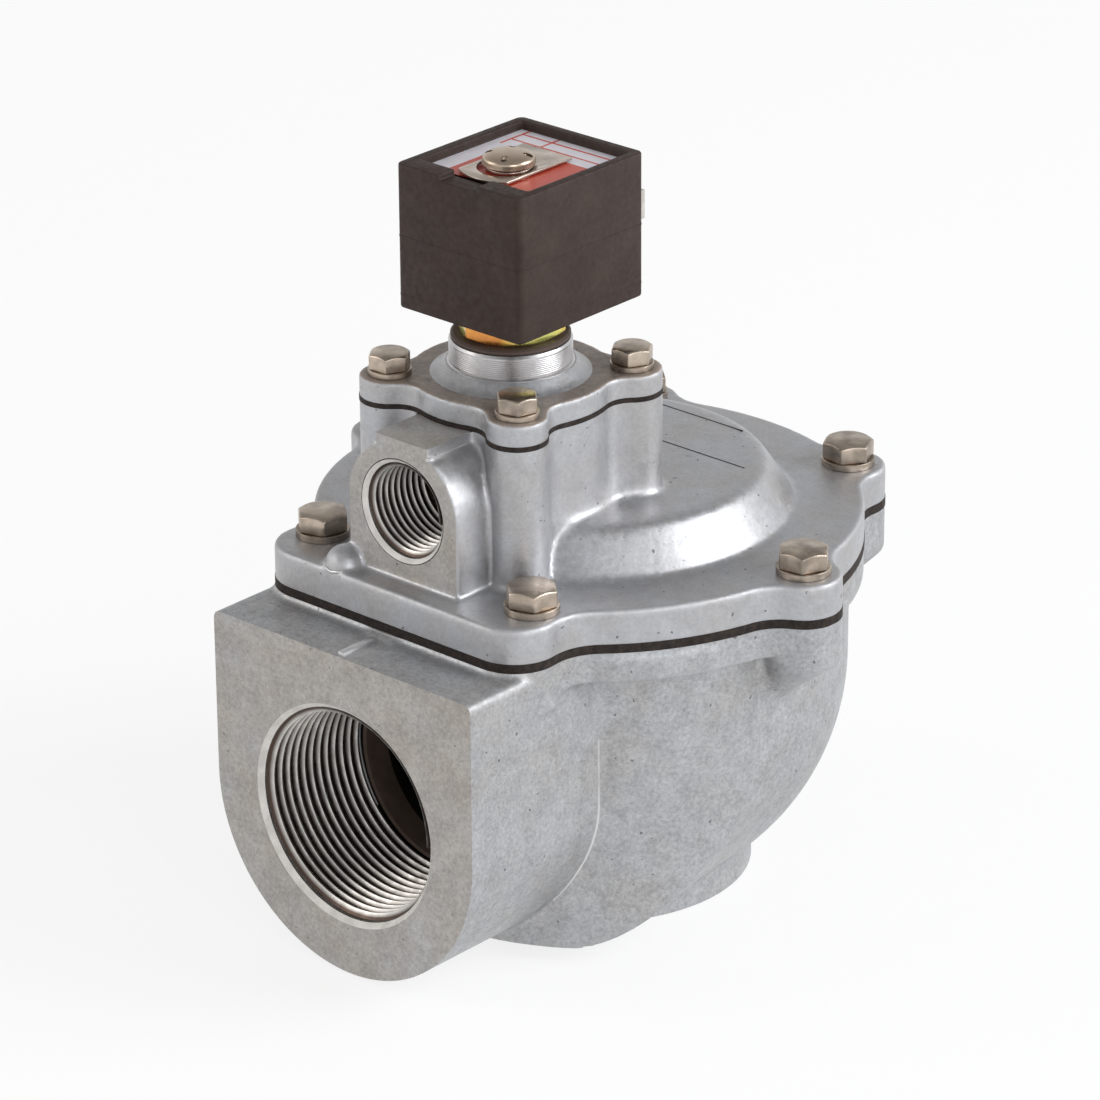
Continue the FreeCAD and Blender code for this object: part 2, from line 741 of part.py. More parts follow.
def pilot_cover_casting():
    """Pilot flange with its turned neck, the solenoid's socket and the pilot orifice."""
    offset = vec(0, tower_y, 0)
    flange = slab(pilot_outline, "pilot_bottom", "pilot_bolt_seat")
    skirt_top = "pilot_bolt_seat + skirt_height"
    solid = flange.fuse([
        cone("skirt_radius", "neck_radius", "pilot_bolt_seat", skirt_top, 0, tower_y),
        pin("neck_radius", skirt_top, "neck_top", 0, tower_y),
    ])
    cavity = cone("pilot_chamber_radius", "pilot_ceiling_radius", "pilot_bottom", "pilot_ceiling", 0, tower_y)
    pocket = pin("pilot_pocket_radius", "pilot_ceiling", "pilot_pocket_top", 0, tower_y)
    socket = pin("socket_radius", "socket_bottom", "neck_top", 0, tower_y)
    nozzle = pin("nozzle_radius", "socket_bottom", "nozzle_top", 0, tower_y)
    orifice = pin("orifice_radius", "pilot_ceiling", "nozzle_top", 0, tower_y)
    # the exhaust drilling slants from the socket's floor to the vent in the flange
    start = vec(0, tower_y - value("socket_radius") / 2, value("socket_bottom + vent_radius"))
    end = vec(0, tower_y - value("vent_offset"), value("pilot_bottom + pilot_flange_thickness / 2"))
    slant = Part.makeCylinder(value("vent_radius"), (end - start).Length, start, end - start)
    drop = pin("vent_radius", "pilot_bottom", "pilot_bottom + pilot_flange_thickness / 2", 0, end.y)
    ball = Part.makeSphere(value("vent_radius"), end)
    solid = solid.cut([cavity, pocket, socket.cut(nozzle), orifice, slant, drop, ball])
    holes = [pin("pilot_bolt_radius + hole_gap", "pilot_bottom", "pilot_bolt_seat", spot.x, spot.y)
             for spot in pilot_places]
    return solid.cut(holes).removeSplitter()


def diaphragm(outline, rim_low, rim_high, hub_low, hub_high, hub_radius, web, inner, bore, y):
    """A dished rubber diaphragm: clamped rim, sloping web and a flat hub on the seat."""
    middle_rim = (value(rim_low) + value(rim_high)) / 2
    middle_hub = (value(hub_low) + value(hub_high)) / 2
    hub_edge = value(hub_radius)
    rim_edge = value(inner)
    half = value(web) / 2
    rim = slab(outline, rim_low, rim_high).cut(pin(inner, rim_low, rim_high, 0, y))
    points = [
        (value(bore), value(hub_low)), (hub_edge, value(hub_low)), (hub_edge, middle_hub - half),
        (rim_edge, middle_rim - half), (rim_edge, middle_rim + half), (hub_edge, middle_hub + half),
        (hub_edge, value(hub_high)), (value(bore), value(hub_high)),
    ]
    corners = [vec(radius, y, height) for radius, height in points]
    web_face = Part.Face(Part.makePolygon(corners + corners[:1]))
    return rim.fuse(web_face.revolve(vec(0, y, 0), vec(0, 0, 1), 360))


def main_diaphragm_shape():
    shape = diaphragm(main_outline, "body_top", "cover_bottom", "seat_height", "hub_top", "hub_radius",
                      "web_thickness", "cover_cavity_radius", "centre_screw_radius + hole_gap", 0)
    holes = [pin("bolt_radius + hole_gap", "body_top", "cover_bottom", spot.x, spot.y)
             for spot in main_places]
    bleed = pin("bleed_radius", "seat_height", "cover_bottom", value("(hub_radius + cover_cavity_radius) / 2"))
    return shape.cut(holes + [bleed]).removeSplitter()


def pilot_diaphragm_shape():
    shape = diaphragm(pilot_outline, "tower_top", "pilot_bottom", "pilot_seat", "pilot_hub_top",
                      "pilot_hub_radius", "pilot_web_thickness", "pilot_chamber_radius",
                      "rivet_radius + hole_gap", tower_y)
    holes = [pin("pilot_bolt_radius + hole_gap", "tower_top", "pilot_bottom", spot.x, spot.y)
             for spot in pilot_places]
    vent = pin("vent_radius", "tower_top", "pilot_bottom", 0, tower_y - value("vent_offset"))
    return shape.cut(holes + [vent]).removeSplitter()


def hex_bolts(name, places, head, across, radius, length, seat, washer):
    """A group of hex-head bolts through spring washers, pointing down."""
    bolts = []
    for index, (x, y) in enumerate(places):
        under = "%s + %s" % (seat, washer)
        parts = [
            hexagon("%s_head_%d" % (name, index), across, under, "%s + %s" % (under, head), x, y),
            cylinder("%s_shank_%d" % (name, index), radius, "%s - %s" % (under, length), under, x, y),
        ]
        bolts.append(fuse("%s_%d" % (name, index), parts))
    return group(name, bolts)


def split_washers(name, places, outer, inner, thickness, seat):
    """A group of spring washers, each with its split."""
    washers = []
    for index, (x, y) in enumerate(places):
        high = "%s + %s" % (seat, thickness)
        disc = cylinder("%s_disc_%d" % (name, index), outer, seat, high, x, y)
        hole = cylinder("%s_hole_%d" % (name, index), inner, seat, high, x, y)
        ring = cut("%s_ring_%d" % (name, index), disc, hole)
        split = box("%s_split_%d" % (name, index), outer, "washer_split", thickness,
                    x, "(%s) - washer_split / 2" % y, seat)
        washers.append(cut("%s_%d" % (name, index), ring, split))
    return group(name, washers)


main_plan = [("bolt_circle * cos(%d deg)" % angle, "bolt_circle * sin(%d deg)" % angle)
             for angle in range(0, 360, 60)]
pilot_plan = [("%spilot_spacing" % x, "%spilot_spacing - tower_offset" % y)
              for x in ("-", "") for y in ("-", "")]
nodes = {}


def make_valve_body():
    nodes["body"] = feature("body", body_casting())
    nodes["main_cover"] = feature("main_cover", main_cover_casting())
    nodes["pilot_cover"] = feature("pilot_cover", pilot_cover_casting())
    nodes["main_diaphragm"] = feature("main_diaphragm", main_diaphragm_shape())
    nodes["pilot_diaphragm"] = feature("pilot_diaphragm", pilot_diaphragm_shape())


def make_fasteners():
    nodes["cover_bolts"] = hex_bolts(
        "cover_bolts", main_plan, "bolt_head_height", "bolt_across", "bolt_radius", "bolt_length",
        "cover_seat", "bolt_washer_thickness")
    nodes["cover_washers"] = split_washers(
        "cover_washers", main_plan, "bolt_washer_radius", "bolt_radius + hole_gap / 2",
        "bolt_washer_thickness", "cover_seat")
    nodes["pilot_bolts"] = hex_bolts(
        "pilot_bolts", pilot_plan, "pilot_bolt_head_height", "pilot_bolt_across", "pilot_bolt_radius",
        "pilot_bolt_length", "pilot_bolt_seat", "pilot_washer_thickness")
    nodes["pilot_washers"] = split_washers(
        "pilot_washers", pilot_plan, "pilot_washer_radius", "pilot_bolt_radius + hole_gap / 2",
        "pilot_washer_thickness", "pilot_bolt_seat")


def make_main_poppet():
    """Plates, screw and nut clamped on the main diaphragm's hub, and the spring above."""
    lower = "seat_height - plate_thickness"
    bore = "centre_screw_radius + thread_gap"
    nodes["diaphragm_lower_plate"] = turned("diaphragm_lower_plate", [
        (bore, lower), ("lower_plate_radius - plate_thickness", lower),
        ("lower_plate_radius", "seat_height - plate_thickness / 2"), ("lower_plate_radius", "seat_height"),
        (bore, "seat_height")])
    rim_top = "upper_plate_top + plate_lip - plate_thickness"
    nodes["diaphragm_upper_plate"] = turned("diaphragm_upper_plate", [
        (bore, "hub_top"), ("upper_plate_radius", "hub_top"),
        ("upper_plate_radius", rim_top), ("upper_plate_radius - plate_thickness", rim_top),
        ("upper_plate_radius - plate_thickness", "upper_plate_top"), (bore, "upper_plate_top")])
    head = hexagon("centre_head", "centre_screw_across", lower + " - centre_head_height", lower)
    shank = cylinder("centre_shank", "centre_screw_radius", lower, "upper_plate_top + centre_nut_height")
    nodes["diaphragm_screw"] = fuse("diaphragm_screw", [head, shank])
    nut = hexagon("centre_nut", "centre_screw_across", "upper_plate_top", "upper_plate_top + centre_nut_height")
    thread = cylinder("centre_nut_thread", bore, "upper_plate_top",
                      "upper_plate_top + centre_nut_height")
    nodes["diaphragm_nut"] = cut("diaphragm_nut", nut, thread)
    nodes["main_spring"] = spring("main_spring", "main_spring_radius", "main_spring_wire",
                                  "upper_plate_top", "ceiling", "main_spring_turns")


def make_pilot_poppet():
    """Riveted plates on the pilot diaphragm's hub, and the spring above."""
    y = "-tower_offset"
    bore = "rivet_radius + thread_gap"
    nodes["pilot_upper_plate"] = turned("pilot_upper_plate", [
        (bore, "pilot_hub_top"), ("pilot_plate_radius", "pilot_hub_top"),
        ("pilot_plate_radius", "pilot_plate_top"), (bore, "pilot_plate_top")], y)
    low = "pilot_seat - rivet_head_height"
    high = "pilot_plate_top + rivet_head_height"
    nodes["pilot_rivet"] = turned("pilot_rivet", [
        ("0", low), ("rivet_head_radius", low), ("rivet_head_radius", "pilot_seat"),
        ("rivet_radius", "pilot_seat"), ("rivet_radius", "pilot_plate_top"),
        ("rivet_head_radius - rivet_radius / 2", "pilot_plate_top"), ("rivet_radius", high), ("0", high)], y)
    nodes["pilot_spring"] = spring("pilot_spring", "pilot_spring_radius", "pilot_spring_wire",
                                   "pilot_plate_top", "pilot_pocket_top", "pilot_spring_turns", y)


def make_solenoid():
    """Hex base, guide tube, fixed stop and the moving plunger with its seal and spring."""
    y = "-tower_offset"
    nodes["base_seal"] = turned("base_seal", [
        ("socket_radius", "neck_top"), ("neck_radius - seal_ring_height / 2", "neck_top"),
        ("neck_radius - seal_ring_height / 2", "base_bottom"), ("socket_radius", "base_bottom")], y)
    hexagon_part = hexagon("base_hex", "base_across", "base_bottom", "base_top", "0", y)
    hexagon_part.setExpression(
        "Placement.Rotation", "create(<<rotation>>; create(<<vector>>; 0; 0; 1); Sizes.base_turn)")
    spigot_low = "nozzle_top + core_lift / 2"
    spigot = cylinder("base_spigot", "socket_radius - thread_gap", spigot_low, "base_bottom", "0", y)
    bore = cylinder("base_bore", "tube_radius + thread_gap", "base_bottom", "base_top", "0", y)
    core_bore = cylinder("base_core_bore", "tube_bore", spigot_low, "base_top", "0", y)
    nodes["solenoid_base"] = cut("solenoid_base", fuse("base_solid", [hexagon_part, spigot]),
                                 fuse("base_bores", [bore, core_bore]))
    nodes["core_tube"] = turned("core_tube", [
        ("tube_bore", "base_bottom"), ("tube_radius", "base_bottom"),
        ("tube_radius", "tube_top"), ("tube_bore", "tube_top")], y)
    nodes["fixed_stop"] = turned("fixed_stop", [
        ("0", "stop_bottom"), ("tube_bore - thread_gap", "stop_bottom"), ("tube_bore - thread_gap", "tube_top"),
        ("stud_radius", "tube_top"), ("stud_radius", "tube_top + stud_height"), ("0", "tube_top + stud_height")], y)
    seal_top = "core_bottom + core_seal_height"
    nodes["plunger_core"] = turned("plunger_core", [
        ("0", seal_top), ("core_seal_radius + thread_gap", seal_top),
        ("core_seal_radius + thread_gap", "core_bottom + core_gap"),
        ("tube_bore - core_gap", "core_bottom + core_gap"), ("tube_bore - core_gap", "core_top"),
        ("core_slot_radius", "core_top"), ("core_slot_radius", "core_top - core_slot_depth"),
        ("0", "core_top - core_slot_depth")], y)
    nodes["core_seal"] = turned("core_seal", [
        ("0", "core_bottom"), ("core_seal_radius", "core_bottom"), ("core_seal_radius", seal_top),
        ("0", seal_top)], y)
    nodes["core_spring"] = spring("core_spring", "core_spring_radius", "core_spring_wire",
                                  "core_top - core_slot_depth", "stop_bottom", "core_spring_turns", y)


def make_coil():
    """The moulded coil block with its recessed top, and the terminals on its back."""
    left = "-coil_width / 2"
    front = "-tower_offset - coil_front"
    block = box("coil_block", "coil_width", "coil_depth", "coil_height", left, front, "coil_bottom")
    seam = box("coil_seam", "coil_width + 2 * seam_rise", "coil_depth + 2 * seam_rise", "seam_height",
               left + " - seam_rise", front + " - seam_rise", "coil_bottom + coil_height / 2 - seam_height / 2")
    doc.recompute()
    upright = [index + 1 for index, edge in enumerate(block.Shape.Edges)
               if edge.BoundBox.ZLength > value("coil_height") - 1e-6]
    soft = doc.addObject("Part::Fillet", "coil_soft")
    soft.Base = block
    radius = value("coil_corner_radius")
    soft.Edges = [(index, radius, radius) for index in upright]
    plateau = box("coil_plateau", "plateau_size", "plateau_rise", "plateau_size",
                  "-plateau_size / 2", front + " + coil_depth",
                  "coil_bottom + coil_height / 2 - plateau_size / 2")
    solid = fuse("coil_solid", [soft, seam, plateau])
    recess = box("coil_recess_box", "coil_width - 2 * coil_rim", "coil_depth - coil_rim - coil_front_rim",
                 "coil_recess", left + " + coil_rim", front + " + coil_front_rim", "recess_floor")
    notch = box("coil_notch", "coil_notch_width", "coil_front_rim + coil_gap", "coil_notch_depth",
                "-coil_notch_width / 2", front + " - coil_gap", "coil_top - coil_notch_depth")
    bore = cylinder("coil_bore", "tube_radius + coil_gap", "coil_bottom", "recess_floor", "0", "-tower_offset")
    nodes["coil_housing"] = cut("coil_housing", solid, fuse("coil_hollows", [recess, notch, bore]))
    back = front + " + coil_depth + plateau_rise"
    middle = "coil_bottom + coil_height / 2"
    blades = []
    for index, side in enumerate(("-", "")):
        blades.append(box("blade_%d" % index, "blade_thickness", "blade_length", "blade_width",
                          side + "blade_spread - blade_thickness / 2", back, middle + " - blade_width / 2"))
    blades.append(box("blade_earth", "blade_width", "blade_length", "blade_thickness",
                      "-blade_width / 2", back, middle + " - blade_spread - blade_thickness / 2"))
    nodes["coil_terminals"] = group("coil_terminals", blades)
    sheet_item = box("label_sheet", "coil_width - 2 * coil_rim - 2 * label_gap",
                     "coil_depth - coil_rim - coil_front_rim - 2 * label_gap", "label_thickness",
                     left + " + coil_rim + label_gap", front + " + coil_front_rim + label_gap", "recess_floor")
    hole = cylinder("label_hole", "stud_radius + coil_gap", "recess_floor", "recess_floor + label_thickness",
                    "0", "-tower_offset")
    nodes["coil_label"] = cut("coil_label", sheet_item, hole)


def make_clip():
    """A flat steel clip with a bowed front end and a slot round its tab, under a round push-on cap."""
    low = value("clip_bottom")
    back = tower_y + value("clip_back_reach")
    front = tower_y - value("clip_front_reach")
    bow = value("clip_bow")
    half = value("clip_width") / 2
    outline = Part.Wire([
        Part.LineSegment(vec(-half, front + bow, low), vec(-half, back, low)).toShape(),
        Part.LineSegment(vec(-half, back, low), vec(half, back, low)).toShape(),
        Part.LineSegment(vec(half, back, low), vec(half, front + bow, low)).toShape(),
        arc(vec(half, front + bow, low), vec(0, front, low), vec(-half, front + bow, low)),
    ])
    plate = Part.Face(outline).extrude(vec(0, 0, value("clip_thickness")))
    stud_hole = pin("stud_radius + core_gap", "clip_bottom", "clip_top", 0, tower_y)
    tab = pin("clip_tab_radius", "clip_bottom", "clip_top", 0, tower_y)
    slot = pin("clip_slot_radius", "clip_bottom", "clip_top", 0, tower_y - value("clip_slot_shift"))
    reach = value("clip_slot_radius")
    front_part = Part.makeBox(2 * reach, 2 * reach, value("clip_thickness"),
                              vec(-reach, tower_y + value("clip_slot_back") - 2 * reach, low))
    nodes["retaining_clip"] = feature("retaining_clip", plate.cut([stud_hole, slot.cut(tab).common(front_part)]))
    y = "-tower_offset"
    inside = "cap_bottom + cap_height - cap_skin"
    shell = turned("cap_shell", [
        ("stud_radius + thread_gap", "cap_bottom"), ("cap_radius", "cap_bottom"),
        ("cap_radius", "cap_bottom + cap_height / 2"),
        ("cap_radius - cap_skin", "cap_bottom + cap_height - cap_skin"),
        ("cap_radius / 2", "cap_bottom + cap_height"), ("0", "cap_bottom + cap_height"),
        ("0", inside), ("stud_radius + thread_gap", inside)], y)
    slots = []
    for index, angle in enumerate((20, 140, 260)):
        slot = box("cap_slot_%d" % index, "cap_radius / 2", "cap_slot_width", "cap_height / 2",
                   "(stud_radius + cap_skin) * cos(%d deg)" % angle,
                   "-tower_offset + (stud_radius + cap_skin) * sin(%d deg)" % angle,
                   "cap_bottom + cap_height / 2")
        slot.Placement.Rotation = FreeCAD.Rotation(vec(0, 0, 1), angle)
        slots.append(slot)
    nodes["clip_cap"] = cut("clip_cap", shell, fuse("cap_slots", slots))


make_valve_body()
make_fasteners()
make_main_poppet()
make_pilot_poppet()
make_solenoid()
make_coil()
make_clip()
doc.recompute()

for item in doc.Objects:
    if "Invalid" in item.State or "Error" in item.State:
        raise RuntimeError("%s failed to build" % item.Name)
os.makedirs("parts", exist_ok=True)
for name, item in nodes.items():
    item.Label = name
    shape = item.Shape
    if shape.isNull() or not shape.isValid() or not shape.Solids:
        raise RuntimeError("%s has no valid solid" % name)
    shape.exportStep("parts/%s.step" % name)
    corners = shape.BoundBox
    print("%-22s solids %d volume %9.1f z %6.1f to %6.1f" % (
        name, len(shape.Solids), shape.Volume, corners.ZMin, corners.ZMax))
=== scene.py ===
import bmesh
import bpy
import math
import numpy as np
from mathutils import Matrix, Quaternion, Vector


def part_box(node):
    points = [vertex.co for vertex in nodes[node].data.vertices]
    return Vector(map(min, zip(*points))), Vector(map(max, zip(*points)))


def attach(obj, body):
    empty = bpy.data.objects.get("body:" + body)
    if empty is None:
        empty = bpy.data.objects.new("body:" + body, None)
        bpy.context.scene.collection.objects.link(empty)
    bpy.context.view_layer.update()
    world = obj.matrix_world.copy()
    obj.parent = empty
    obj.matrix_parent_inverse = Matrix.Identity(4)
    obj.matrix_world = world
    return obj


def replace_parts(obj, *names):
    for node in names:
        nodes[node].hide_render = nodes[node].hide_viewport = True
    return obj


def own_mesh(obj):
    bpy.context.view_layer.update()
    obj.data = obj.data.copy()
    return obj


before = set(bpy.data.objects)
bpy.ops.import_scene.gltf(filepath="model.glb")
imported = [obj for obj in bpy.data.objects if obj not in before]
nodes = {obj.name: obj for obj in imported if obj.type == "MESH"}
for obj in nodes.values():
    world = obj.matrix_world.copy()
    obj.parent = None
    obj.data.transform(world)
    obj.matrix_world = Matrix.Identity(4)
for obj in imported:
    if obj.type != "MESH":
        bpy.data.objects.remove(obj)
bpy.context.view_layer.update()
print("frame loaded:", len(nodes), "nodes")

# metres throughout: outlet mouth at the origin, inlet towards -Y, tower over the inlet side
layout = {
    "towerY": -0.0245,
    "boltCircle": 0.05935,
    "pilotSpacing": 0.0179,
    "blockTop": 0.0736,
    "bodyTop": 0.0746,
    "coverBottom": 0.0766,
    "coverSeat": 0.0842,
    "domeTop": 0.0938,
    "towerTop": 0.1156,
    "pilotBottom": 0.1167,
    "pilotSeat": 0.1213,
    "neckTop": 0.129,
    "baseBottom": 0.1303,
    "baseTop": 0.1353,
    "coilBottom": 0.1356,
    "coilTop": 0.1672,
    "recessFloor": 0.1653,
    "capBottom": 0.1667,
    "capTop": 0.1694,
}
tower = Vector((0, layout["towerY"], 0))


# camera at the photograph's angle
def makeCamera():
    view = {"place": (0.70814, -0.80035, 0.54291), "azimuth": 41.958, "elevation": 23.785,
            "roll": -0.388, "lens": 177.48}
    turn, rise = math.radians(view["azimuth"]), math.radians(view["elevation"])
    back = Vector((math.sin(turn) * math.cos(rise), -math.cos(turn) * math.cos(rise), math.sin(rise)))
    camera = bpy.data.objects.new("photoCamera", bpy.data.cameras.new("photoCamera"))
    camera.data.lens = view["lens"]
    camera.data.clip_start, camera.data.clip_end = 0.05, 20
    camera.rotation_mode = "QUATERNION"
    camera.location = view["place"]
    roll = Quaternion((0, 0, 1), math.radians(view["roll"]))
    camera.rotation_quaternion = (-back).to_track_quat("-Z", "Y") @ roll
    bpy.context.scene.collection.objects.link(camera)
    bpy.context.scene.camera = camera


def makeStudio():
    studio = {"floorSize": 6.0, "floorHeight": -0.0002, "floorColour": (0.9, 0.9, 0.9), "floorWhite": 0.8,
              "roomLow": 0.72, "roomHigh": 0.46, "seenLow": 1.0, "seenHigh": 0.36, "aim": (0, 0, 0.08)}
    half = studio["floorSize"] / 2
    corners = [(-half, -half, 0), (half, -half, 0), (half, half, 0), (-half, half, 0)]
    floor = newObject("floor", meshFrom("floor", corners, [], [(0, 1, 2, 3)]))
    floor.location.z = studio["floorHeight"]
    paint = finish("paleFloor", studio["floorColour"], 0.0, 0.9, 0.1)
    tree = paint.node_tree
    share = addNode(tree, "ShaderNodeMath", {0: seenDirectly(tree), 1: studio["floorWhite"]},
                    operation="MULTIPLY")
    mix = addNode(tree, "ShaderNodeMixShader", {
        "Fac": share.outputs[0], 1: tree.nodes["Principled BSDF"].outputs[0],
        2: addNode(tree, "ShaderNodeEmission").outputs[0]})
    tree.links.new(mix.outputs[0], tree.nodes["Material Output"].inputs["Surface"])
    floor.data.materials.append(paint)
    lamps = {
        "keyLamp": {"place": (1.35, 0.85, 0.95), "size": 1.25, "power": 26, "colour": (0.96, 0.98, 1.0)},
        "sideLamp": {"place": (1.5, -0.75, 0.75), "size": 1.0, "power": 7, "colour": (0.97, 0.98, 1.0)},
        "frontLamp": {"place": (-1.25, -1.35, 0.9), "size": 1.2, "power": 9, "colour": (1.0, 0.97, 0.94)},
    }
    for name, lamp in lamps.items():
        light = bpy.data.lights.new(name, "AREA")
        light.shape, light.size = "DISK", lamp["size"]
        light.energy, light.color = lamp["power"], lamp["colour"]
        item = bpy.data.objects.new(name, light)
        item.location = lamp["place"]
        aim = Vector(studio["aim"]) - Vector(lamp["place"])
        item.rotation_euler = aim.to_track_quat("-Z", "Y").to_euler()
        bpy.context.scene.collection.objects.link(item)
    world = bpy.data.worlds.new("softRoom")
    bpy.context.scene.world = world
    world.use_nodes = True
    tree = world.node_tree
    direction = addNode(tree, "ShaderNodeTexCoord")
    height = addNode(tree, "ShaderNodeSeparateXYZ", {0: direction.outputs["Generated"]}).outputs["Z"]
    pick = addNode(tree, "ShaderNodeMix", {
        "Factor": seenDirectly(tree),
        "A": remap(tree, height, studio["roomLow"], studio["roomHigh"], -0.1, 0.9),
        "B": remap(tree, height, studio["seenLow"], studio["seenHigh"], 0.15, 0.75)})
    sky = tree.nodes["Background"].inputs
    tree.links.new(pick.outputs["Result"], sky["Strength"])
    sky["Color"].default_value = (1, 1, 1, 1)
    bpy.context.scene.view_settings.view_transform = "Standard"


def seenDirectly(tree):  # one for what the camera, metal and glass see
    path = addNode(tree, "ShaderNodeLightPath")
    total = path.outputs["Is Camera Ray"]
    for label in ("Is Glossy Ray", "Is Transmission Ray"):
        most = addNode(tree, "ShaderNodeMath", {0: total, 1: path.outputs[label]}, operation="MAXIMUM")
        total = most.outputs[0]
    return total


# mesh helpers
def newObject(name, mesh):
    item = bpy.data.objects.new(name, mesh)
    bpy.context.scene.collection.objects.link(item)
    return item


def meshFrom(name, points, lines, faces):
    mesh = bpy.data.meshes.new(name)
    mesh.from_pydata([tuple(point) for point in points], lines, faces)
    mesh.update()
    return mesh


def toMesh(shape, mesh):  # hands a bmesh over to a mesh
    shape.to_mesh(mesh)
    shape.free()
    return mesh


def shapeOf(mesh):
    shape = bmesh.new()
    shape.from_mesh(mesh)
    return shape


def meshOf(name, shape, angle=32):
    mesh = toMesh(shape, bpy.data.meshes.new(name))
    mesh.shade_smooth()
    mesh.set_sharp_from_angle(angle=math.radians(angle))
    return mesh


def outwards(shape):
    bmesh.ops.recalc_face_normals(shape, faces=shape.faces)
    return shape


def applied(item):  # bakes the modifiers into the mesh
    depsgraph = bpy.context.evaluated_depsgraph_get()
    mesh = bpy.data.meshes.new_from_object(item.evaluated_get(depsgraph))
    item.modifiers.clear()
    item.data = mesh
    return item


def lathe(profile, steps=96, ring=False, centre=(0, 0, 0)):
    shape = bmesh.new()
    rows = []
    for radius, height in profile:
        angles = [2 * math.pi * step / steps for step in range(steps if radius > 0 else 1)]
        rows.append([shape.verts.new((radius * math.cos(a), radius * math.sin(a), height)) for a in angles])
    pairs = list(zip(rows, rows[1:])) + ([(rows[-1], rows[0])] if ring else [])
    for low, high in pairs:
        for step in range(steps):
            spots = ((low, step), (low, step + 1), (high, step + 1), (high, step))
            unique = list(dict.fromkeys(row[spot % len(row)] for row, spot in spots))
            if len(unique) > 2:
                shape.faces.new(unique)
    outwards(shape)
    bmesh.ops.translate(shape, verts=shape.verts, vec=centre)
    return shape


def prism(loop, start, end):  # a closed block between two copies of an outline
    count = len(loop)
    shape = bmesh.new()
    verts = [shape.verts.new(point + move) for move in (start, end) for point in loop]
    faces = [range(count), range(2 * count - 1, count - 1, -1)]
    faces += [(k, k + count, (k + 1) % count + count, (k + 1) % count) for k in range(count)]
    for face in faces:
        shape.faces.new([verts[k] for k in face])
    return outwards(shape)


def merged(node):  # a copy of a node's mesh with its loose triangles joined
    shape = shapeOf(nodes[node].data)
    bmesh.ops.remove_doubles(shape, verts=shape.verts, dist=1e-6)
    return shape


def bisect(shape, point, normal, **options):  # cuts the faces along a plane, returns the new edges
    cut = bmesh.ops.bisect_plane(shape, geom=shape.verts[:] + shape.edges[:] + shape.faces[:],
                                 plane_co=point, plane_no=normal, **options)["geom_cut"]
    return [part for part in cut if isinstance(part, bmesh.types.BMEdge)]


def outline(node, point, normal):  # the outer outline of a node where a plane cuts it
    shape = merged(node)
    links = {}
    for edge in bisect(shape, point, normal):
        for vert in edge.verts:
            links.setdefault(vert, []).append(edge.other_vert(vert))
    loops, seen = [], set()
    for first in links:
        loop, here = [], first
        while here is not None and here not in seen:
            seen.add(here)
            loop.append(here.co.copy())
            here = next((vert for vert in links[here] if vert not in seen), None)
        if loop:
            loops.append(loop)
    shape.free()
    return max(loops, key=lambda loop: max((point - loop[0]).length for point in loop))


def stretched(node, point, normal, start, end):  # a node's outline at a plane, drawn out both ways
    return prism(outline(node, point, normal), start * normal, end * normal)


def addShape(target, source):  # joins one bmesh into another and frees it
    mesh = toMesh(source, bpy.data.meshes.new("joining"))
    target.from_mesh(mesh)
    bpy.data.meshes.remove(mesh)


def moved(shape, degrees, axis, place):  # turns a shape about an axis, then moves it
    bmesh.ops.rotate(shape, verts=shape.verts, matrix=Matrix.Rotation(math.radians(degrees), 3, axis))
    bmesh.ops.translate(shape, verts=shape.verts, vec=place)
    return shape


def pin(radius, low, high, x=0, y=0, steps=24):
    return lathe([(0, low), (radius, low), (radius, high), (0, high)], steps, centre=(x, y, 0))


def boxShape(low, high):
    shape = bmesh.new()
    bmesh.ops.create_cube(shape, size=1.0)
    for vert in shape.verts:
        for axis in range(3):
            vert.co[axis] = high[axis] if vert.co[axis] > 0 else low[axis]
    return shape


def rounded(shape, offset, segments=4, everywhere=False):  # eases the upright edges, or all of them
    edges = [edge for edge in shape.edges
             if everywhere or math.hypot(*(edge.verts[0].co - edge.verts[1].co).xy) < 1e-6]
    bmesh.ops.bevel(shape, geom=edges, offset=offset, segments=segments, profile=0.5, affect="EDGES")
    return shape


def carve(item, tools):  # cuts closed shapes out of a piece
    for shape in tools:
        tool = newObject("tool", toMesh(shape, bpy.data.meshes.new("tool")))
        cut = item.modifiers.new("cut", "BOOLEAN")
        cut.operation, cut.solver, cut.object = "DIFFERENCE", "EXACT", tool
        applied(item)
        bpy.data.objects.remove(tool)
    return item


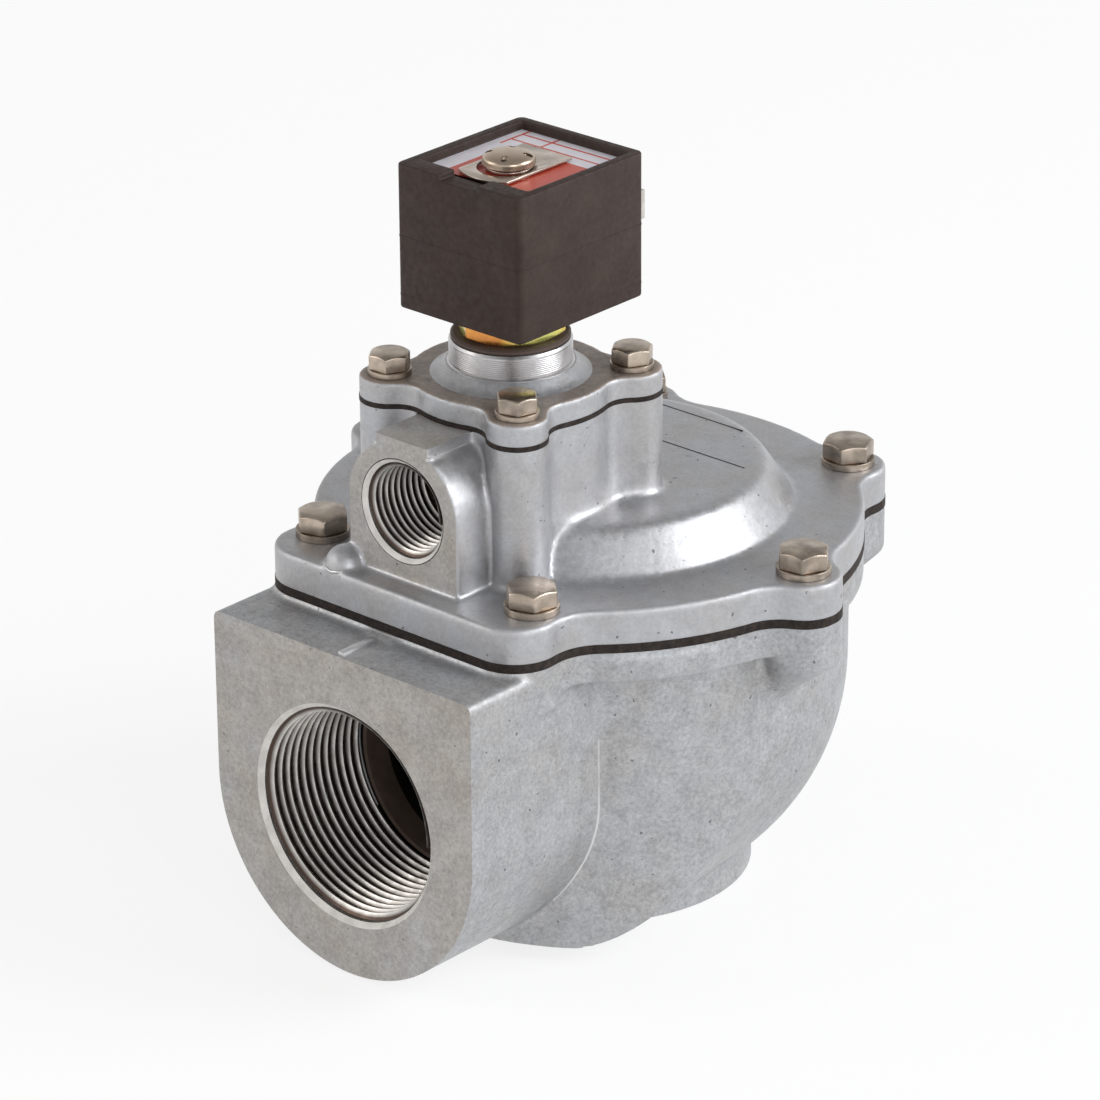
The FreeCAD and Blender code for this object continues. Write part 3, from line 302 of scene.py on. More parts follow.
# castings: the node and its stretched faces are merged on a fine grid and the corners are eased;
# how hollow or worn a spot is goes along as attributes, and machined faces are cut crisp later
def castingSkin(name, shape, look, softAt=None):
    bmesh.ops.triangulate(shape, faces=[face for face in shape.faces if len(face.verts) > 4])
    item = newObject(name, toMesh(shape, bpy.data.meshes.new(name)))
    grid = item.modifiers.new("grid", "REMESH")
    grid.mode, grid.voxel_size = "VOXEL", look["grid"]
    applied(item)
    mesh = item.data
    count = len(mesh.vertices)
    places = np.empty(count * 3)
    mesh.vertices.foreach_get("co", places)
    places = places.reshape(-1, 3)
    ends = np.empty(len(mesh.edges) * 2, dtype=np.int64)
    mesh.edges.foreach_get("vertices", ends)
    first, second = ends[0::2], ends[1::2]
    degree = np.bincount(first, minlength=count) + np.bincount(second, minlength=count)

    def around(values):
        return (np.bincount(first, values[second], count) + np.bincount(second, values[first], count)) / degree

    def pull():
        return np.stack([around(places[:, k]) for k in range(3)], axis=1) - places

    def relax(rounds, share):
        for _ in range(rounds):
            places[:] += pull() * share

    def bend():  # above zero in hollows, below zero on outer corners
        mesh.vertices.foreach_set("co", places.ravel())
        mesh.update()
        normals = np.empty(count * 3)
        mesh.vertices.foreach_get("normal", normals)
        return (pull() * normals.reshape(-1, 3)).sum(axis=1) / look["grid"]

    relax(look["plain"], 0.5)
    hollow = np.clip(bend() / 0.08, 0, 1)
    for _ in range(3):
        hollow = around(hollow)
    hollow = np.clip(hollow * 4, 0, 1)
    relax(look["hollow"], 0.5 * hollow[:, None])
    if softAt:
        share = softAt(places, hollow)
        for _ in range(4):
            share = around(share)
        relax(look["soft"], 0.5 * share[:, None])
    curve = around(bend())
    for label, values in (("crease", (curve - 0.025) / 0.06), ("worn", (-curve - 0.03) / 0.08)):
        layer = mesh.attributes.new(label, "FLOAT", "POINT")
        layer.data.foreach_set("value", around(np.clip(values, 0, 1)))
    triangles = 2 * len(mesh.polygons)
    if triangles > look["triangles"]:
        fewer = item.modifiers.new("fewer", "DECIMATE")
        fewer.ratio = look["triangles"] / triangles
        applied(item)
    return item


def machine(item, cuts):  # cuts flat machined faces, each with a round hole left open
    shape = shapeOf(item.data)
    for face in shape.faces:
        face.smooth = True
    for point, normal, centre, radius in cuts:
        edges = bisect(shape, point, normal, clear_outer=True)
        for edge in edges:
            edge.smooth = False
        across = normal.orthogonal().normalized() * radius
        ring = [shape.verts.new(Vector(centre) + Quaternion(normal, 2 * math.pi * k / 96) @ across)
                for k in range(96)]
        edges += [shape.edges.new((ring[k - 1], ring[k])) for k in range(96)]
        filled = bmesh.ops.triangle_fill(shape, edges=edges, use_beauty=True, use_dissolve=False)["geom"]
        for face in [part for part in filled if isinstance(part, bmesh.types.BMFace)]:
            face.normal_update()
            if face.normal.dot(normal) < 0:
                face.normal_flip()
            face.smooth = False
            face.material_index = 1
    toMesh(shape, item.data)


def innerFaces(name, node, keep):  # the unseen inner walls of a casting, as the CAD has them
    shape = merged(node)
    outside = [face for face in shape.faces if not keep(face.calc_center_median())]
    bmesh.ops.delete(shape, geom=outside, context="FACES")
    return newObject(name, meshOf(name, shape))


# node helpers
def addNode(tree, kind, inputs=(), **settings):  # a node with its inputs linked or set
    node = tree.nodes.new(kind)
    for label, value in settings.items():
        setattr(node, label, value)
    for socket, value in dict(inputs).items():
        if isinstance(value, bpy.types.NodeSocket):
            tree.links.new(value, node.inputs[socket])
        else:
            node.inputs[socket].default_value = value
    return node


def noise(tree, scale, detail=3.0, roughness=0.5):
    if "objectPlace" not in tree.nodes:
        tree.nodes.new("ShaderNodeTexCoord").name = "objectPlace"
    return addNode(tree, "ShaderNodeTexNoise", {
        "Vector": tree.nodes["objectPlace"].outputs["Object"], "Scale": scale, "Detail": detail,
        "Roughness": roughness}).outputs["Fac"]


def ramp(tree, source, stops):
    band = addNode(tree, "ShaderNodeValToRGB", {"Fac": source})
    while len(band.color_ramp.elements) < len(stops):
        band.color_ramp.elements.new(0.5)
    for element, (place, colour) in zip(band.color_ramp.elements, stops):
        element.position = place
        element.color = (*colour, 1)
    return band.outputs["Color"]


def blendColours(tree, share, first, second, kind="MIX"):
    second = (*second, 1) if isinstance(second, tuple) else second
    first = (*first, 1) if isinstance(first, tuple) else first
    return addNode(tree, "ShaderNodeMix", {"Factor": share, "A": first, "B": second}, data_type="RGBA",
                   blend_type=kind).outputs["Result"]


def bump(tree, source, depth, below=None):
    inputs = {"Distance": depth, "Strength": 1.0, "Height": source}
    if below:
        inputs["Normal"] = below
    return addNode(tree, "ShaderNodeBump", inputs).outputs["Normal"]


def remap(tree, source, low, high, fromLow=0.0, fromHigh=1.0):
    return addNode(tree, "ShaderNodeMapRange", {
        "Value": source, "From Min": fromLow, "From Max": fromHigh, "To Min": low,
        "To Max": high}).outputs["Result"]


def attribute(tree, label):
    return addNode(tree, "ShaderNodeAttribute", attribute_name=label).outputs["Fac"]


def connect(material, socket, output):
    tree = material.node_tree
    tree.links.new(output, tree.nodes["Principled BSDF"].inputs[socket])


# finishes
def finish(name, colour, metallic=0.0, roughness=0.5, gloss=0.5, tones=None, dull=None, bumps=()):
    material = bpy.data.materials.new(name)
    material.use_nodes = True
    tree = material.node_tree
    for label, value in (("Base Color", (*colour, 1)), ("Metallic", metallic), ("Roughness", roughness),
                         ("Specular IOR Level", gloss)):
        tree.nodes["Principled BSDF"].inputs[label].default_value = value
    if tones:
        connect(material, "Base Color", ramp(tree, noise(tree, *tones[0]), tones[1]))
    if dull:
        connect(material, "Roughness", remap(tree, noise(tree, *dull[0]), dull[1], dull[2], 0.3, 0.7))
    below = None
    for grain, depth in bumps:
        below = bump(tree, noise(tree, *grain), depth, below)
    if below:
        connect(material, "Normal", below)
    return material


def makeCastFinish(name, look):
    material = finish(name, look["tone"], look["metallic"], look["roughness"])
    tree = material.node_tree
    tone = look["tone"]

    def shade(factor, warm):
        return (tone[0] * factor * (1 + warm), tone[1] * factor, tone[2] * factor * (1 - warm))
    grain, warm, white = look["grain"], look["drift"], (1.0, 1.0, 1.0)
    drift = ramp(tree, noise(tree, 75, 3, 0.55), [(0.34, shade(0.95, warm)), (0.66, shade(1.03, -warm))])
    cloud = ramp(tree, noise(tree, look["cloudScale"], 4, 0.65), [(0.32, (1 - grain,) * 3), (0.64, white)])
    speckle = ramp(tree, noise(tree, 1150, 4, 0.8), [(0.3, (1 - 1.5 * grain,) * 3), (0.7, (1 + grain,) * 3)])
    pits = ramp(tree, noise(tree, 760, 1, 0.4), [(0.215, (0.4, 0.4, 0.4)), (0.245, white)])
    colour = drift
    for layer in (cloud, speckle, pits):
        colour = blendColours(tree, 1.0, colour, layer, "MULTIPLY")
    # worn outer edges turn lighter from wear, and the hollow creases take the same lighter colour as a painted
    # highlight; edge sets how much lighter both get
    bright = tuple(min(1.0, part * look["edge"]) for part in tone)
    for label, share in (("worn", 0.75), ("crease", look["creaseHighlightShare"])):
        colour = blendColours(tree, remap(tree, attribute(tree, label), 0.0, share), colour, bright)
    connect(material, "Base Color", colour)
    low, high = look["roughness"] - 0.07, look["roughness"] + 0.08
    dull = addNode(tree, "ShaderNodeMath", {  # worn corners are duller, so they don't glint
        0: attribute(tree, "worn"), 1: 0.25, 2: remap(tree, noise(tree, 600, 3), low, high, 0.3, 0.7)},
        operation="MULTIPLY_ADD")
    connect(material, "Roughness", dull.outputs[0])
    below, depth = None, look["depth"]
    for grain, height in (((150, 2), look["swell"]), ((700, 3, 0.6), depth), ((2300, 2), depth * 0.7)):
        below = bump(tree, noise(tree, *grain), height, below)
    connect(material, "Normal", below)
    return material


def brushed(name, colour, roughness, scale=1400, depth=0.00002, metallic=0.95, contrast=0.78):
    darker = tuple(contrast * part for part in colour)
    return finish(name, colour, metallic, roughness, tones=((scale / 5, 3), [(0.35, darker), (0.65, colour)]),
                  dull=((scale / 3, 2), roughness - 0.07, roughness + 0.1), bumps=[((scale, 2), depth)])


def makeFilm(name, colour):
    darker = tuple(0.93 * part for part in colour)
    return finish(name, colour, 0.0, 0.35, tones=((500, 3), [(0.35, darker), (0.65, colour)]))


castLooks = {
    "bodyAluminium": {
        "tone": (0.45, 0.453, 0.462), "metallic": 0.7, "roughness": 0.5, "grain": 0.19, "depth": 0.00005,
        "swell": 0.00005, "edge": 1.08, "creaseHighlightShare": 0.3, "drift": 0.02, "cloudScale": 260},
    "coverAluminium": {
        "tone": (0.465, 0.465, 0.478), "metallic": 0.82, "roughness": 0.43, "grain": 0.09, "depth": 0.000035,
        "swell": 0.0001, "edge": 1.08, "creaseHighlightShare": 0.15, "drift": 0.02, "cloudScale": 300},
    "machinedFace": {
        "tone": (0.43, 0.408, 0.385), "metallic": 0.5, "roughness": 0.52, "grain": 0.18, "depth": 0.00003,
        "swell": 0.00002, "edge": 1.0, "creaseHighlightShare": 0.0, "drift": 0.03, "cloudScale": 170},
    # darker and browner: stained mottling over painted shade for faces that point up
    "stainedShadedTop": {
        "tone": (0.27, 0.228, 0.20), "metallic": 0.6, "roughness": 0.45, "grain": 0.16, "depth": 0.00004,
        "swell": 0.00006, "edge": 1.7, "creaseHighlightShare": 0.2, "drift": 0.03, "cloudScale": 220},
    # nearly black: painted shade for the inner walls and the dome's shadow lines
    "paintedShadeAluminium": {
        "tone": (0.022, 0.018, 0.015), "metallic": 0.1, "roughness": 0.75, "grain": 0.12, "depth": 0.00005,
        "swell": 0.00006, "edge": 1.0, "creaseHighlightShare": 0.0, "drift": 0.0, "cloudScale": 260},
}
bodyAluminium, coverAluminium, machinedFace, stainedShadedTop, paintedShadeAluminium = (
    makeCastFinish(name, look) for name, look in castLooks.items())
# lighter than the casting: a painted highlight along the thin fillet beads and the block's rib
highlightAluminium = brushed("highlightAluminium", (0.66, 0.66, 0.665), 0.36, 900, metallic=0.8)


def makeThreadFinish():  # bright crests over dark roots
    material = brushed("threadAluminium", (0.62, 0.60, 0.57), 0.34)
    tree = material.node_tree
    # the roots take a dark brown colour: painted shade in the thread's hollows
    share = remap(tree, attribute(tree, "crest"), 0.0, 1.0, 0.35, 0.85)
    base = tree.nodes["Principled BSDF"].inputs["Base Color"].links[0].from_socket
    connect(material, "Base Color", blendColours(tree, share, (0.075, 0.052, 0.042), base))
    return material


threadAluminium = makeThreadFinish()
leadAluminium = brushed("leadAluminium", (0.78, 0.75, 0.71), 0.5, metallic=0.1)
turnedAluminium = brushed("turnedAluminium", (0.60, 0.59, 0.595), 0.36, 900, 0.00001)
boltSteel = brushed("boltSteel", (0.54, 0.455, 0.375), 0.34, 1100, 0.00003, contrast=0.5)
plateSteel = brushed("plateSteel", (0.60, 0.60, 0.60), 0.33)
springSteel = brushed("springSteel", (0.45, 0.45, 0.46), 0.35)
magnetSteel = brushed("magnetSteel", (0.58, 0.57, 0.56), 0.28)
clipSteel = brushed("clipSteel", (0.60, 0.52, 0.45), 0.28, 900)
capSteel = brushed("capSteel", (0.50, 0.40, 0.31), 0.3, 700)
boreShade = brushed("boreShade", (0.21, 0.15, 0.12), 0.5, 900, metallic=0.2)
tinnedBrass = brushed("tinnedBrass", (0.68, 0.66, 0.60), 0.32)
labelWhite = makeFilm("labelWhite", (0.58, 0.56, 0.60))
labelRed = makeFilm("labelRed", (0.46, 0.05, 0.025))
yellowZinc = finish(
    "yellowZinc", (0.80, 0.50, 0.10), 0.85, 0.28,
    tones=((120, 2, 0.5), [(0.34, (0.72, 0.30, 0.08)), (0.45, (0.88, 0.52, 0.12)), (0.55, (0.90, 0.78, 0.22)),
                           (0.70, (0.62, 0.66, 0.20))]),
    dull=((500, 2), 0.2, 0.38), bumps=[((1300, 2), 0.00001)])
coilPlastic = finish(
    "coilPlastic", (0.026, 0.015, 0.011), 0.0, 0.62, 0.3,
    tones=((110, 4, 0.65), [(0.32, (0.025, 0.0135, 0.010)), (0.7, (0.038, 0.023, 0.018))]),
    dull=((700, 3), 0.5, 0.72), bumps=[((1100, 3, 0.6), 0.00005), ((3000, 2), 0.00004)])
rubber = finish(
    "rubber", (0.02, 0.014, 0.011), 0.0, 0.7, 0.3,
    tones=((700, 4, 0.7), [(0.35, (0.007, 0.004, 0.003)), (0.72, (0.036, 0.025, 0.019))]),
    bumps=[((1300, 3, 0.6), 0.00016)])
sealRubber = finish("sealRubber", (0.07, 0.045, 0.035), 0.0, 0.6, bumps=[((900, 3), 0.00005)])
print("finishes made")

makeCamera()
makeStudio()


def dress(item, body, slot, *materials):
    if item.data.materials:
        item.data.materials.clear()
    for material in materials:
        item.data.materials.append(material)
    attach(item, body)
    return item


def piece(name, shape, body, slot, *materials):  # a dressed object from a bmesh
    return dress(newObject(name, meshOf(name, shape)), body, slot, *materials)


def fromTower(place):
    return math.hypot(place.x, place.y - layout["towerY"])


def boltSpots():
    turns = [step * math.pi / 3 for step in range(6)]
    return [layout["boltCircle"] * Vector((math.cos(turn), math.sin(turn))) for turn in turns]


# valve body
def makeBody():
    body = {"grid": 0.00062, "plain": 2, "hollow": 3, "soft": 40, "triangles": 170000, "inletFace": -0.0777,
            "inletHeight": 0.037, "portRadius": 0.0239, "lead": 0.0011, "chamberRadius": 0.0490,
            "chamberCentre": 0.0488, "plugSpare": 0.0012, "plugTop": 0.0755, "tapRadius": 0.0034,
            "tapFloor": 0.0635, "sleeveRadius": 0.0216, "sleeveWall": 0.001, "sleeveEnd": -0.0417}
    up, out = Vector((0, 0, 1)), Vector((0, -1, 0))
    shape = merged("body")
    addShape(shape, stretched("body", (0, 0, 0.0742), up, -0.0012, 0.0044))
    addShape(shape, stretched("body", (0, body["inletFace"] + 0.0004, 0), out, 0.0044, -0.035))
    addShape(shape, stretched("body", (0, 0, 0.0003), up, -0.0048, 0.006))
    wide = body["chamberRadius"] + body["plugSpare"]
    angles = [math.radians(angle) for angle in range(-60, 5, 5)]
    bowl = [(wide * math.cos(angle), body["chamberCentre"] + wide * math.sin(angle)) for angle in angles]
    addShape(shape, lathe([(0, bowl[0][1])] + bowl + [(wide, body["plugTop"]), (0, body["plugTop"])]))
    for spot in boltSpots():
        addShape(shape, pin(body["tapRadius"], body["tapFloor"], body["plugTop"], spot.x, spot.y))

    def softAt(places, hollow):  # the hollows beside the bolt lobes run out smoothly
        share = np.zeros(len(places))
        for step in range(6):
            spot = layout["boltCircle"] * np.array((math.cos(step * math.pi / 3), math.sin(step * math.pi / 3)))
            near = np.hypot(places[:, 0] - spot[0], places[:, 1] - spot[1]) < 0.017
            share[near & (places[:, 2] > 0.053) & (places[:, 2] < 0.0672) & (places[:, 1] > -0.045)] = 1
        return share * hollow
    item = castingSkin("bodyCasting", shape, body, softAt)
    mouth = body["portRadius"] + body["lead"]
    machine(item, [
        ((0, 0, layout["bodyTop"]), up, (0, 0, layout["bodyTop"]), body["chamberRadius"]),
        ((0, body["inletFace"], 0), out, (0, body["inletFace"], body["inletHeight"]), mouth),
        ((0, 0, 0), -up, (0, 0, 0), mouth),
    ])
    dress(item, "root", "cast_aluminium", bodyAluminium, machinedFace)
    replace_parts(item, "body")

    def inside(place):
        height = place.z - body["chamberCentre"]
        wide = math.hypot(place.x, place.y)
        limit = body["chamberRadius"] + 0.0002
        inChamber = math.hypot(wide, min(height, 0)) < limit and 0.006 < place.z < 0.0744
        inBore = math.hypot(place.x, place.z - body["inletHeight"]) < 0.0235 and -0.06 < place.y < -0.03
        inThroat = wide < 0.0235 and place.z > 0.021
        return inChamber or inBore or inThroat
    # the inner walls are finished nearly black as painted shade
    dress(innerFaces("bodyInside", "body", inside), "root", "cast_aluminium", paintedShadeAluminium)
    # the rib is finished lighter than the casting: a painted highlight
    rib = boxShape((-0.0014, -0.0768, 0.072), (0.0003, -0.0668, layout["blockTop"] + 0.0007))
    piece("blockRib", rounded(rib, 0.00025, 2, True), "root", "cast_aluminium", highlightAluminium)
    # the smooth bore behind the thread
    inner, start, end = body["sleeveRadius"], body["inletFace"] + 0.0297, body["sleeveEnd"]
    outer = inner + body["sleeveWall"]
    sleeve = lathe([(inner, start), (outer, start), (outer, end), (inner, end)], 96, True)
    sleeve = moved(sleeve, -90, "X", (0, 0, body["inletHeight"]))
    piece("inletSleeve", sleeve, "root", "cast_aluminium", boreShade)
    print("body made:", len(item.data.polygons), "faces")


# main cover
def makeCover():
    cover = {"grid": 0.0006, "plain": 2, "hollow": 1, "soft": 36, "triangles": 170000, "exhaustFace": -0.0582,
             "exhaustHeight": 0.0998, "exhaustRadius": 0.01048, "lead": 0.0011, "ring": 0.0134,
             "ringDepth": 0.0006, "plugLength": 0.034, "plugFloor": 0.074, "boltHole": 0.0036,
             "cavityLow": 0.0462, "cavityHigh": 0.0345, "ceiling": 0.0895, "pilotRadius": 0.0155}
    up = Vector((0, 0, 1))
    shape = merged("main_cover")
    addShape(shape, stretched("main_cover", (0, 0, 0.0782), up, -0.0056, 0.0048))
    addShape(shape, stretched("main_cover", (0, 0, layout["towerTop"] - 0.0002), up, -0.014, 0.0042))
    floor, wide, ceiling = cover["plugFloor"], cover["cavityLow"], cover["ceiling"]
    addShape(shape, lathe([(0, floor), (wide, floor), (wide, 0.0768), (cover["cavityHigh"], ceiling),
                           (0, ceiling)]))
    mouth = cover["exhaustRadius"] + cover["lead"]
    plug = pin(mouth + 0.0004, 0, cover["plugLength"])
    place = (0, cover["exhaustFace"] + cover["plugLength"], cover["exhaustHeight"])
    addShape(shape, moved(plug, 90, "X", place))
    for spot in boltSpots():
        addShape(shape, pin(cover["boltHole"], cover["plugFloor"], layout["coverSeat"], spot.x, spot.y))

    def softAt(places, hollow):  # the wide hollow round the tower's foot and the dome's rounded shoulder
        wide = np.hypot(places[:, 0], places[:, 1])
        away = np.hypot(places[:, 0], places[:, 1] - layout["towerY"])
        foot = (away < 0.031) & (places[:, 2] < 0.1) & (places[:, 1] > -0.043) & (wide < 0.0385)
        shoulder = (wide > 0.0335) & (wide < 0.0415) & (places[:, 2] > 0.0905) & (away > 0.027)
        return ((foot | shoulder) & (places[:, 2] > 0.0865)).astype(float)
    item = castingSkin("coverCasting", shape, cover, softAt)
    machine(item, [
        ((0, 0, layout["coverBottom"]), -up, (0, 0, layout["coverBottom"]), cover["cavityLow"] - 0.0002),
        ((0, 0, layout["towerTop"]), up, (0, layout["towerY"], layout["towerTop"]), cover["pilotRadius"]),
    ])
    shape = shapeOf(item.data)
    hole = []
    for face in shape.faces:  # the exhaust mouth opens behind its machined ring
        place = face.calc_center_median()
        wide = math.hypot(place.x, place.z - cover["exhaustHeight"])
        if wide < (cover["ring"] + mouth) / 2 and place.y < -0.05:
            hole.append(face)
    bmesh.ops.delete(shape, geom=hole, context="FACES")
    for face in shape.faces:  # the boss's dull front and the pad on its top
        place = face.calc_center_median()
        onBoss = abs(place.x) < 0.0156 and place.z > 0.0845
        if onBoss and abs(place.y - cover["exhaustFace"]) < 0.0003 and face.normal.y < -0.9:
            face.material_index = 1
        if abs(place.x) < 0.0078 and place.y < -0.0508 and place.z > 0.1149 and face.normal.z > 0.8:
            face.material_index = 1
    toMesh(shape, item.data)
    dress(item, "root", "cast_aluminium", coverAluminium, machinedFace)
    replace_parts(item, "main_cover")
    outer, back = cover["ring"], -cover["ringDepth"]
    ring = lathe([(mouth, 0), (outer, 0), (outer, back), (mouth, back)], 96, True)
    place = (0, cover["exhaustFace"], cover["exhaustHeight"])
    piece("exhaustRing", moved(ring, 90, "X", place), "root", "cast_aluminium", machinedFace)

    def inside(place):
        wide = math.hypot(place.x, place.y)
        slope = cover["cavityLow"] - (place.z - 0.0766) * (cover["cavityLow"] - 0.0342) / 0.0122
        inCavity = 0.0767 < place.z < 0.0889 and wide < slope
        inPilot = 0.0885 < place.z < layout["towerTop"] - 0.0001 and fromTower(place) < 0.0157
        fromAxis = math.hypot(place.x, place.z - cover["exhaustHeight"])
        inPassage = fromAxis < cover["exhaustRadius"] - 0.0002 and -0.041 < place.y < -0.02
        return inCavity or inPilot or inPassage
    # the inner walls are finished nearly black as painted shade
    dress(innerFaces("coverInside", "main_cover", inside), "root", "cast_aluminium", paintedShadeAluminium)
    # the lines are thin nearly black strips: painted shadow lines of the dome's shallow ridges
    for half, y in ((0.0157, 0.0323), (0.0293, 0.0167)):  # two shallow lines across the dome
        groove = boxShape((-half, y - 0.0002, 0.0934), (half, y + 0.0002, layout["domeTop"] + 0.00003))
        piece("domeLine", groove, "root", "cast_aluminium", paintedShadeAluminium)
    print("cover made:", len(item.data.polygons), "faces")


# pilot cover: cast flange and turned neck
def makePilotCover():
    pilot = {"grid": 0.0005, "plain": 2, "hollow": 6, "triangles": 90000, "ceilingRadius": 0.0155,
             "socketFloor": 0.1233, "skirt": 0.0158, "skirtTop": 0.1236, "neck": 0.013, "groove": 0.00025,
             "socket": 0.009}
    up = Vector((0, 0, 1))
    item = castingSkin("pilotCasting", stretched("pilot_cover", (0, 0, 0.1185), up, -0.0048, 0.0028), pilot)
    foot = (0, layout["towerY"], layout["pilotBottom"])
    machine(item, [(foot, -up, foot, pilot["ceilingRadius"])])
    # faces that point up take a darker, browner finish: its mottling is stains, its darker tone painted shade
    for face in item.data.polygons:
        if face.normal.z > 0.85:
            face.material_index = 2
    dress(item, "root", "turned_aluminium", coverAluminium, machinedFace, stainedShadedTop)
    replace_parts(item, "pilot_cover")

    def inside(place):
        return fromTower(place) < 0.01555 and layout["pilotBottom"] + 0.00002 < place.z < 0.1209
    # the inner walls are finished nearly black as painted shade
    dress(innerFaces("pilotInside", "pilot_cover", inside), "root", "turned_aluminium", paintedShadeAluminium)
    neck, skirt, low, high = pilot["neck"], pilot["skirt"], pilot["skirtTop"], layout["neckTop"]
    seat, socket, floor = layout["pilotSeat"], pilot["socket"], pilot["socketFloor"]
    cone = [(0, seat - 0.0008), (skirt + 0.0016, seat - 0.0008), (skirt + 0.0012, seat),
            (skirt + 0.0003, seat + 0.0004), (skirt - 0.0006, seat + 0.001), (neck + 0.0012, low - 0.0004),
            (neck + 0.0007, low), (socket, low), (socket, floor), (0, floor)]
    piece("pilotSkirt", lathe(cone, 128, centre=tower), "root", "turned_aluminium", coverAluminium)
    profile = [(socket, low - 0.001), (neck + 0.0004, low - 0.001), (neck + 0.0004, low + 0.0001),
               (neck, low + 0.0004)]
    turns = 9
    for step in range(turns):  # fine tool marks
        height = low + 0.0009 + (high - low - 0.0016) * step / turns
        profile += [(neck, height), (neck - pilot["groove"] / 3, height + 0.0001), (neck, height + 0.0002)]
    profile += [(neck, high - 0.0005), (neck - 0.0004, high), (socket, high)]
    piece("pilotNeck", lathe(profile, 128, True, tower), "root", "turned_aluminium", turnedAluminium)
    print("pilot cover made")


# geometry node trees
def newTree(name, inputs):
    kinds = {int: "NodeSocketInt", float: "NodeSocketFloat", tuple: "NodeSocketVector"}
    tree = bpy.data.node_groups.new(name, "GeometryNodeTree")
    for label, value in inputs.items():
        kind = value if isinstance(value, str) else kinds[type(value)]
        socket = tree.interface.new_socket(label, in_out="INPUT", socket_type=kind)
        if kind != value:
            socket.default_value = value
    tree.interface.new_socket("Geometry", in_out="OUTPUT", socket_type="NodeSocketGeometry")
    return tree, addNode(tree, "NodeGroupInput").outputs


def closeTree(tree, given, geometry):  # realises and paints what the tree made
    real = addNode(tree, "GeometryNodeRealizeInstances", {"Geometry": geometry})
    paint = addNode(tree, "GeometryNodeSetMaterial", {
        "Geometry": real.outputs["Geometry"], "Material": given["Finish"]})
    addNode(tree, "NodeGroupOutput", {"Geometry": paint.outputs["Geometry"]})
    return tree


def grow(name, tree, values):  # runs a tree and keeps its plain mesh
    item = newObject(name, bpy.data.meshes.new(name))
    modifier = item.modifiers.new("grow", "NODES")
    modifier.node_group = tree
    for socket in tree.interface.items_tree:
        if socket.in_out == "INPUT" and socket.name in values:
            modifier[socket.identifier] = values[socket.name]
    return applied(item)


def makeCoilTree():  # a profile wound on a helix: thread teeth and springs
    tree, given = newTree("windCoil", {
        "Radius": 0.02, "Height": 0.02, "Turns": 8.0, "Steps": 96, "Half Width": 0.001, "Crest": 0.0002,
        "Depth": 0.001, "Wire": 0.0, "Finish": "NodeSocketMaterial"})
    path = addNode(tree, "GeometryNodeCurveSpiral", {
        "Resolution": given["Steps"], "Rotations": given["Turns"], "Start Radius": given["Radius"],
        "End Radius": given["Radius"], "Height": given["Height"]})
    upright = addNode(tree, "GeometryNodeSetCurveNormal", {"Curve": path.outputs["Curve"]}, mode="Z_UP")

    def corner(**sides):
        return addNode(tree, "ShaderNodeCombineXYZ", sides).outputs["Vector"]

    def minus(value):
        return addNode(tree, "ShaderNodeMath", {0: value, 1: -1}, operation="MULTIPLY").outputs[0]
    width, crest, depth = (given[label] for label in ("Half Width", "Crest", "Depth"))
    tooth = addNode(tree, "GeometryNodeCurvePrimitiveQuadrilateral", mode="POINTS")
    for label, point in (("Point 1", corner(Y=minus(width))), ("Point 2", corner(Y=width)),
                         ("Point 3", corner(X=depth, Y=crest)), ("Point 4", corner(X=depth, Y=minus(crest)))):
        tree.links.new(point, tooth.inputs[label])
    wire = addNode(tree, "GeometryNodeCurvePrimitiveCircle", {"Radius": given["Wire"], "Resolution": 14})
    isWire = addNode(tree, "FunctionNodeCompare", {0: given["Wire"], 1: 0}, operation="GREATER_THAN")
    profile = addNode(tree, "GeometryNodeSwitch", {
        "Switch": isWire.outputs[0], "False": tooth.outputs["Curve"], "True": wire.outputs["Curve"]},
        input_type="GEOMETRY")
    sweep = addNode(tree, "GeometryNodeCurveToMesh", {
        "Curve": upright.outputs["Curve"], "Profile Curve": profile.outputs["Output"], "Fill Caps": True})
    smooth = addNode(tree, "GeometryNodeSetShadeSmooth", {"Geometry": sweep.outputs["Mesh"]})
    return closeTree(tree, given, smooth.outputs["Geometry"])


def makeRingTree():  # copies of one fastener round a circle, each turned by chance
    tree, given = newTree("fastenerRing", {
        "Fastener": "NodeSocketObject", "Count": 6, "Radius": 0.05, "Start Angle": 0.0, "Centre": (0, 0, 0),
        "Turn": 1.0, "Seed": 3, "Finish": "NodeSocketMaterial"})
    circle = addNode(tree, "GeometryNodeMeshCircle", {"Vertices": given["Count"], "Radius": given["Radius"]})
    swing = addNode(tree, "ShaderNodeCombineXYZ", {"Z": given["Start Angle"]})
    place = addNode(tree, "GeometryNodeTransform", {
        "Geometry": circle.outputs["Mesh"], "Translation": given["Centre"], "Rotation": swing.outputs["Vector"]})
    chance = addNode(tree, "FunctionNodeRandomValue", {"Max": given["Turn"], "Seed": given["Seed"]},
                     data_type="FLOAT")
    turn = addNode(tree, "ShaderNodeCombineXYZ", {"Z": chance.outputs["Value"]})
    source = addNode(tree, "GeometryNodeObjectInfo", {"Object": given["Fastener"]})
    copies = addNode(tree, "GeometryNodeInstanceOnPoints", {
        "Points": place.outputs["Geometry"], "Instance": source.outputs["Geometry"],
        "Rotation": turn.outputs["Vector"]})
    return closeTree(tree, given, copies.outputs["Instances"])


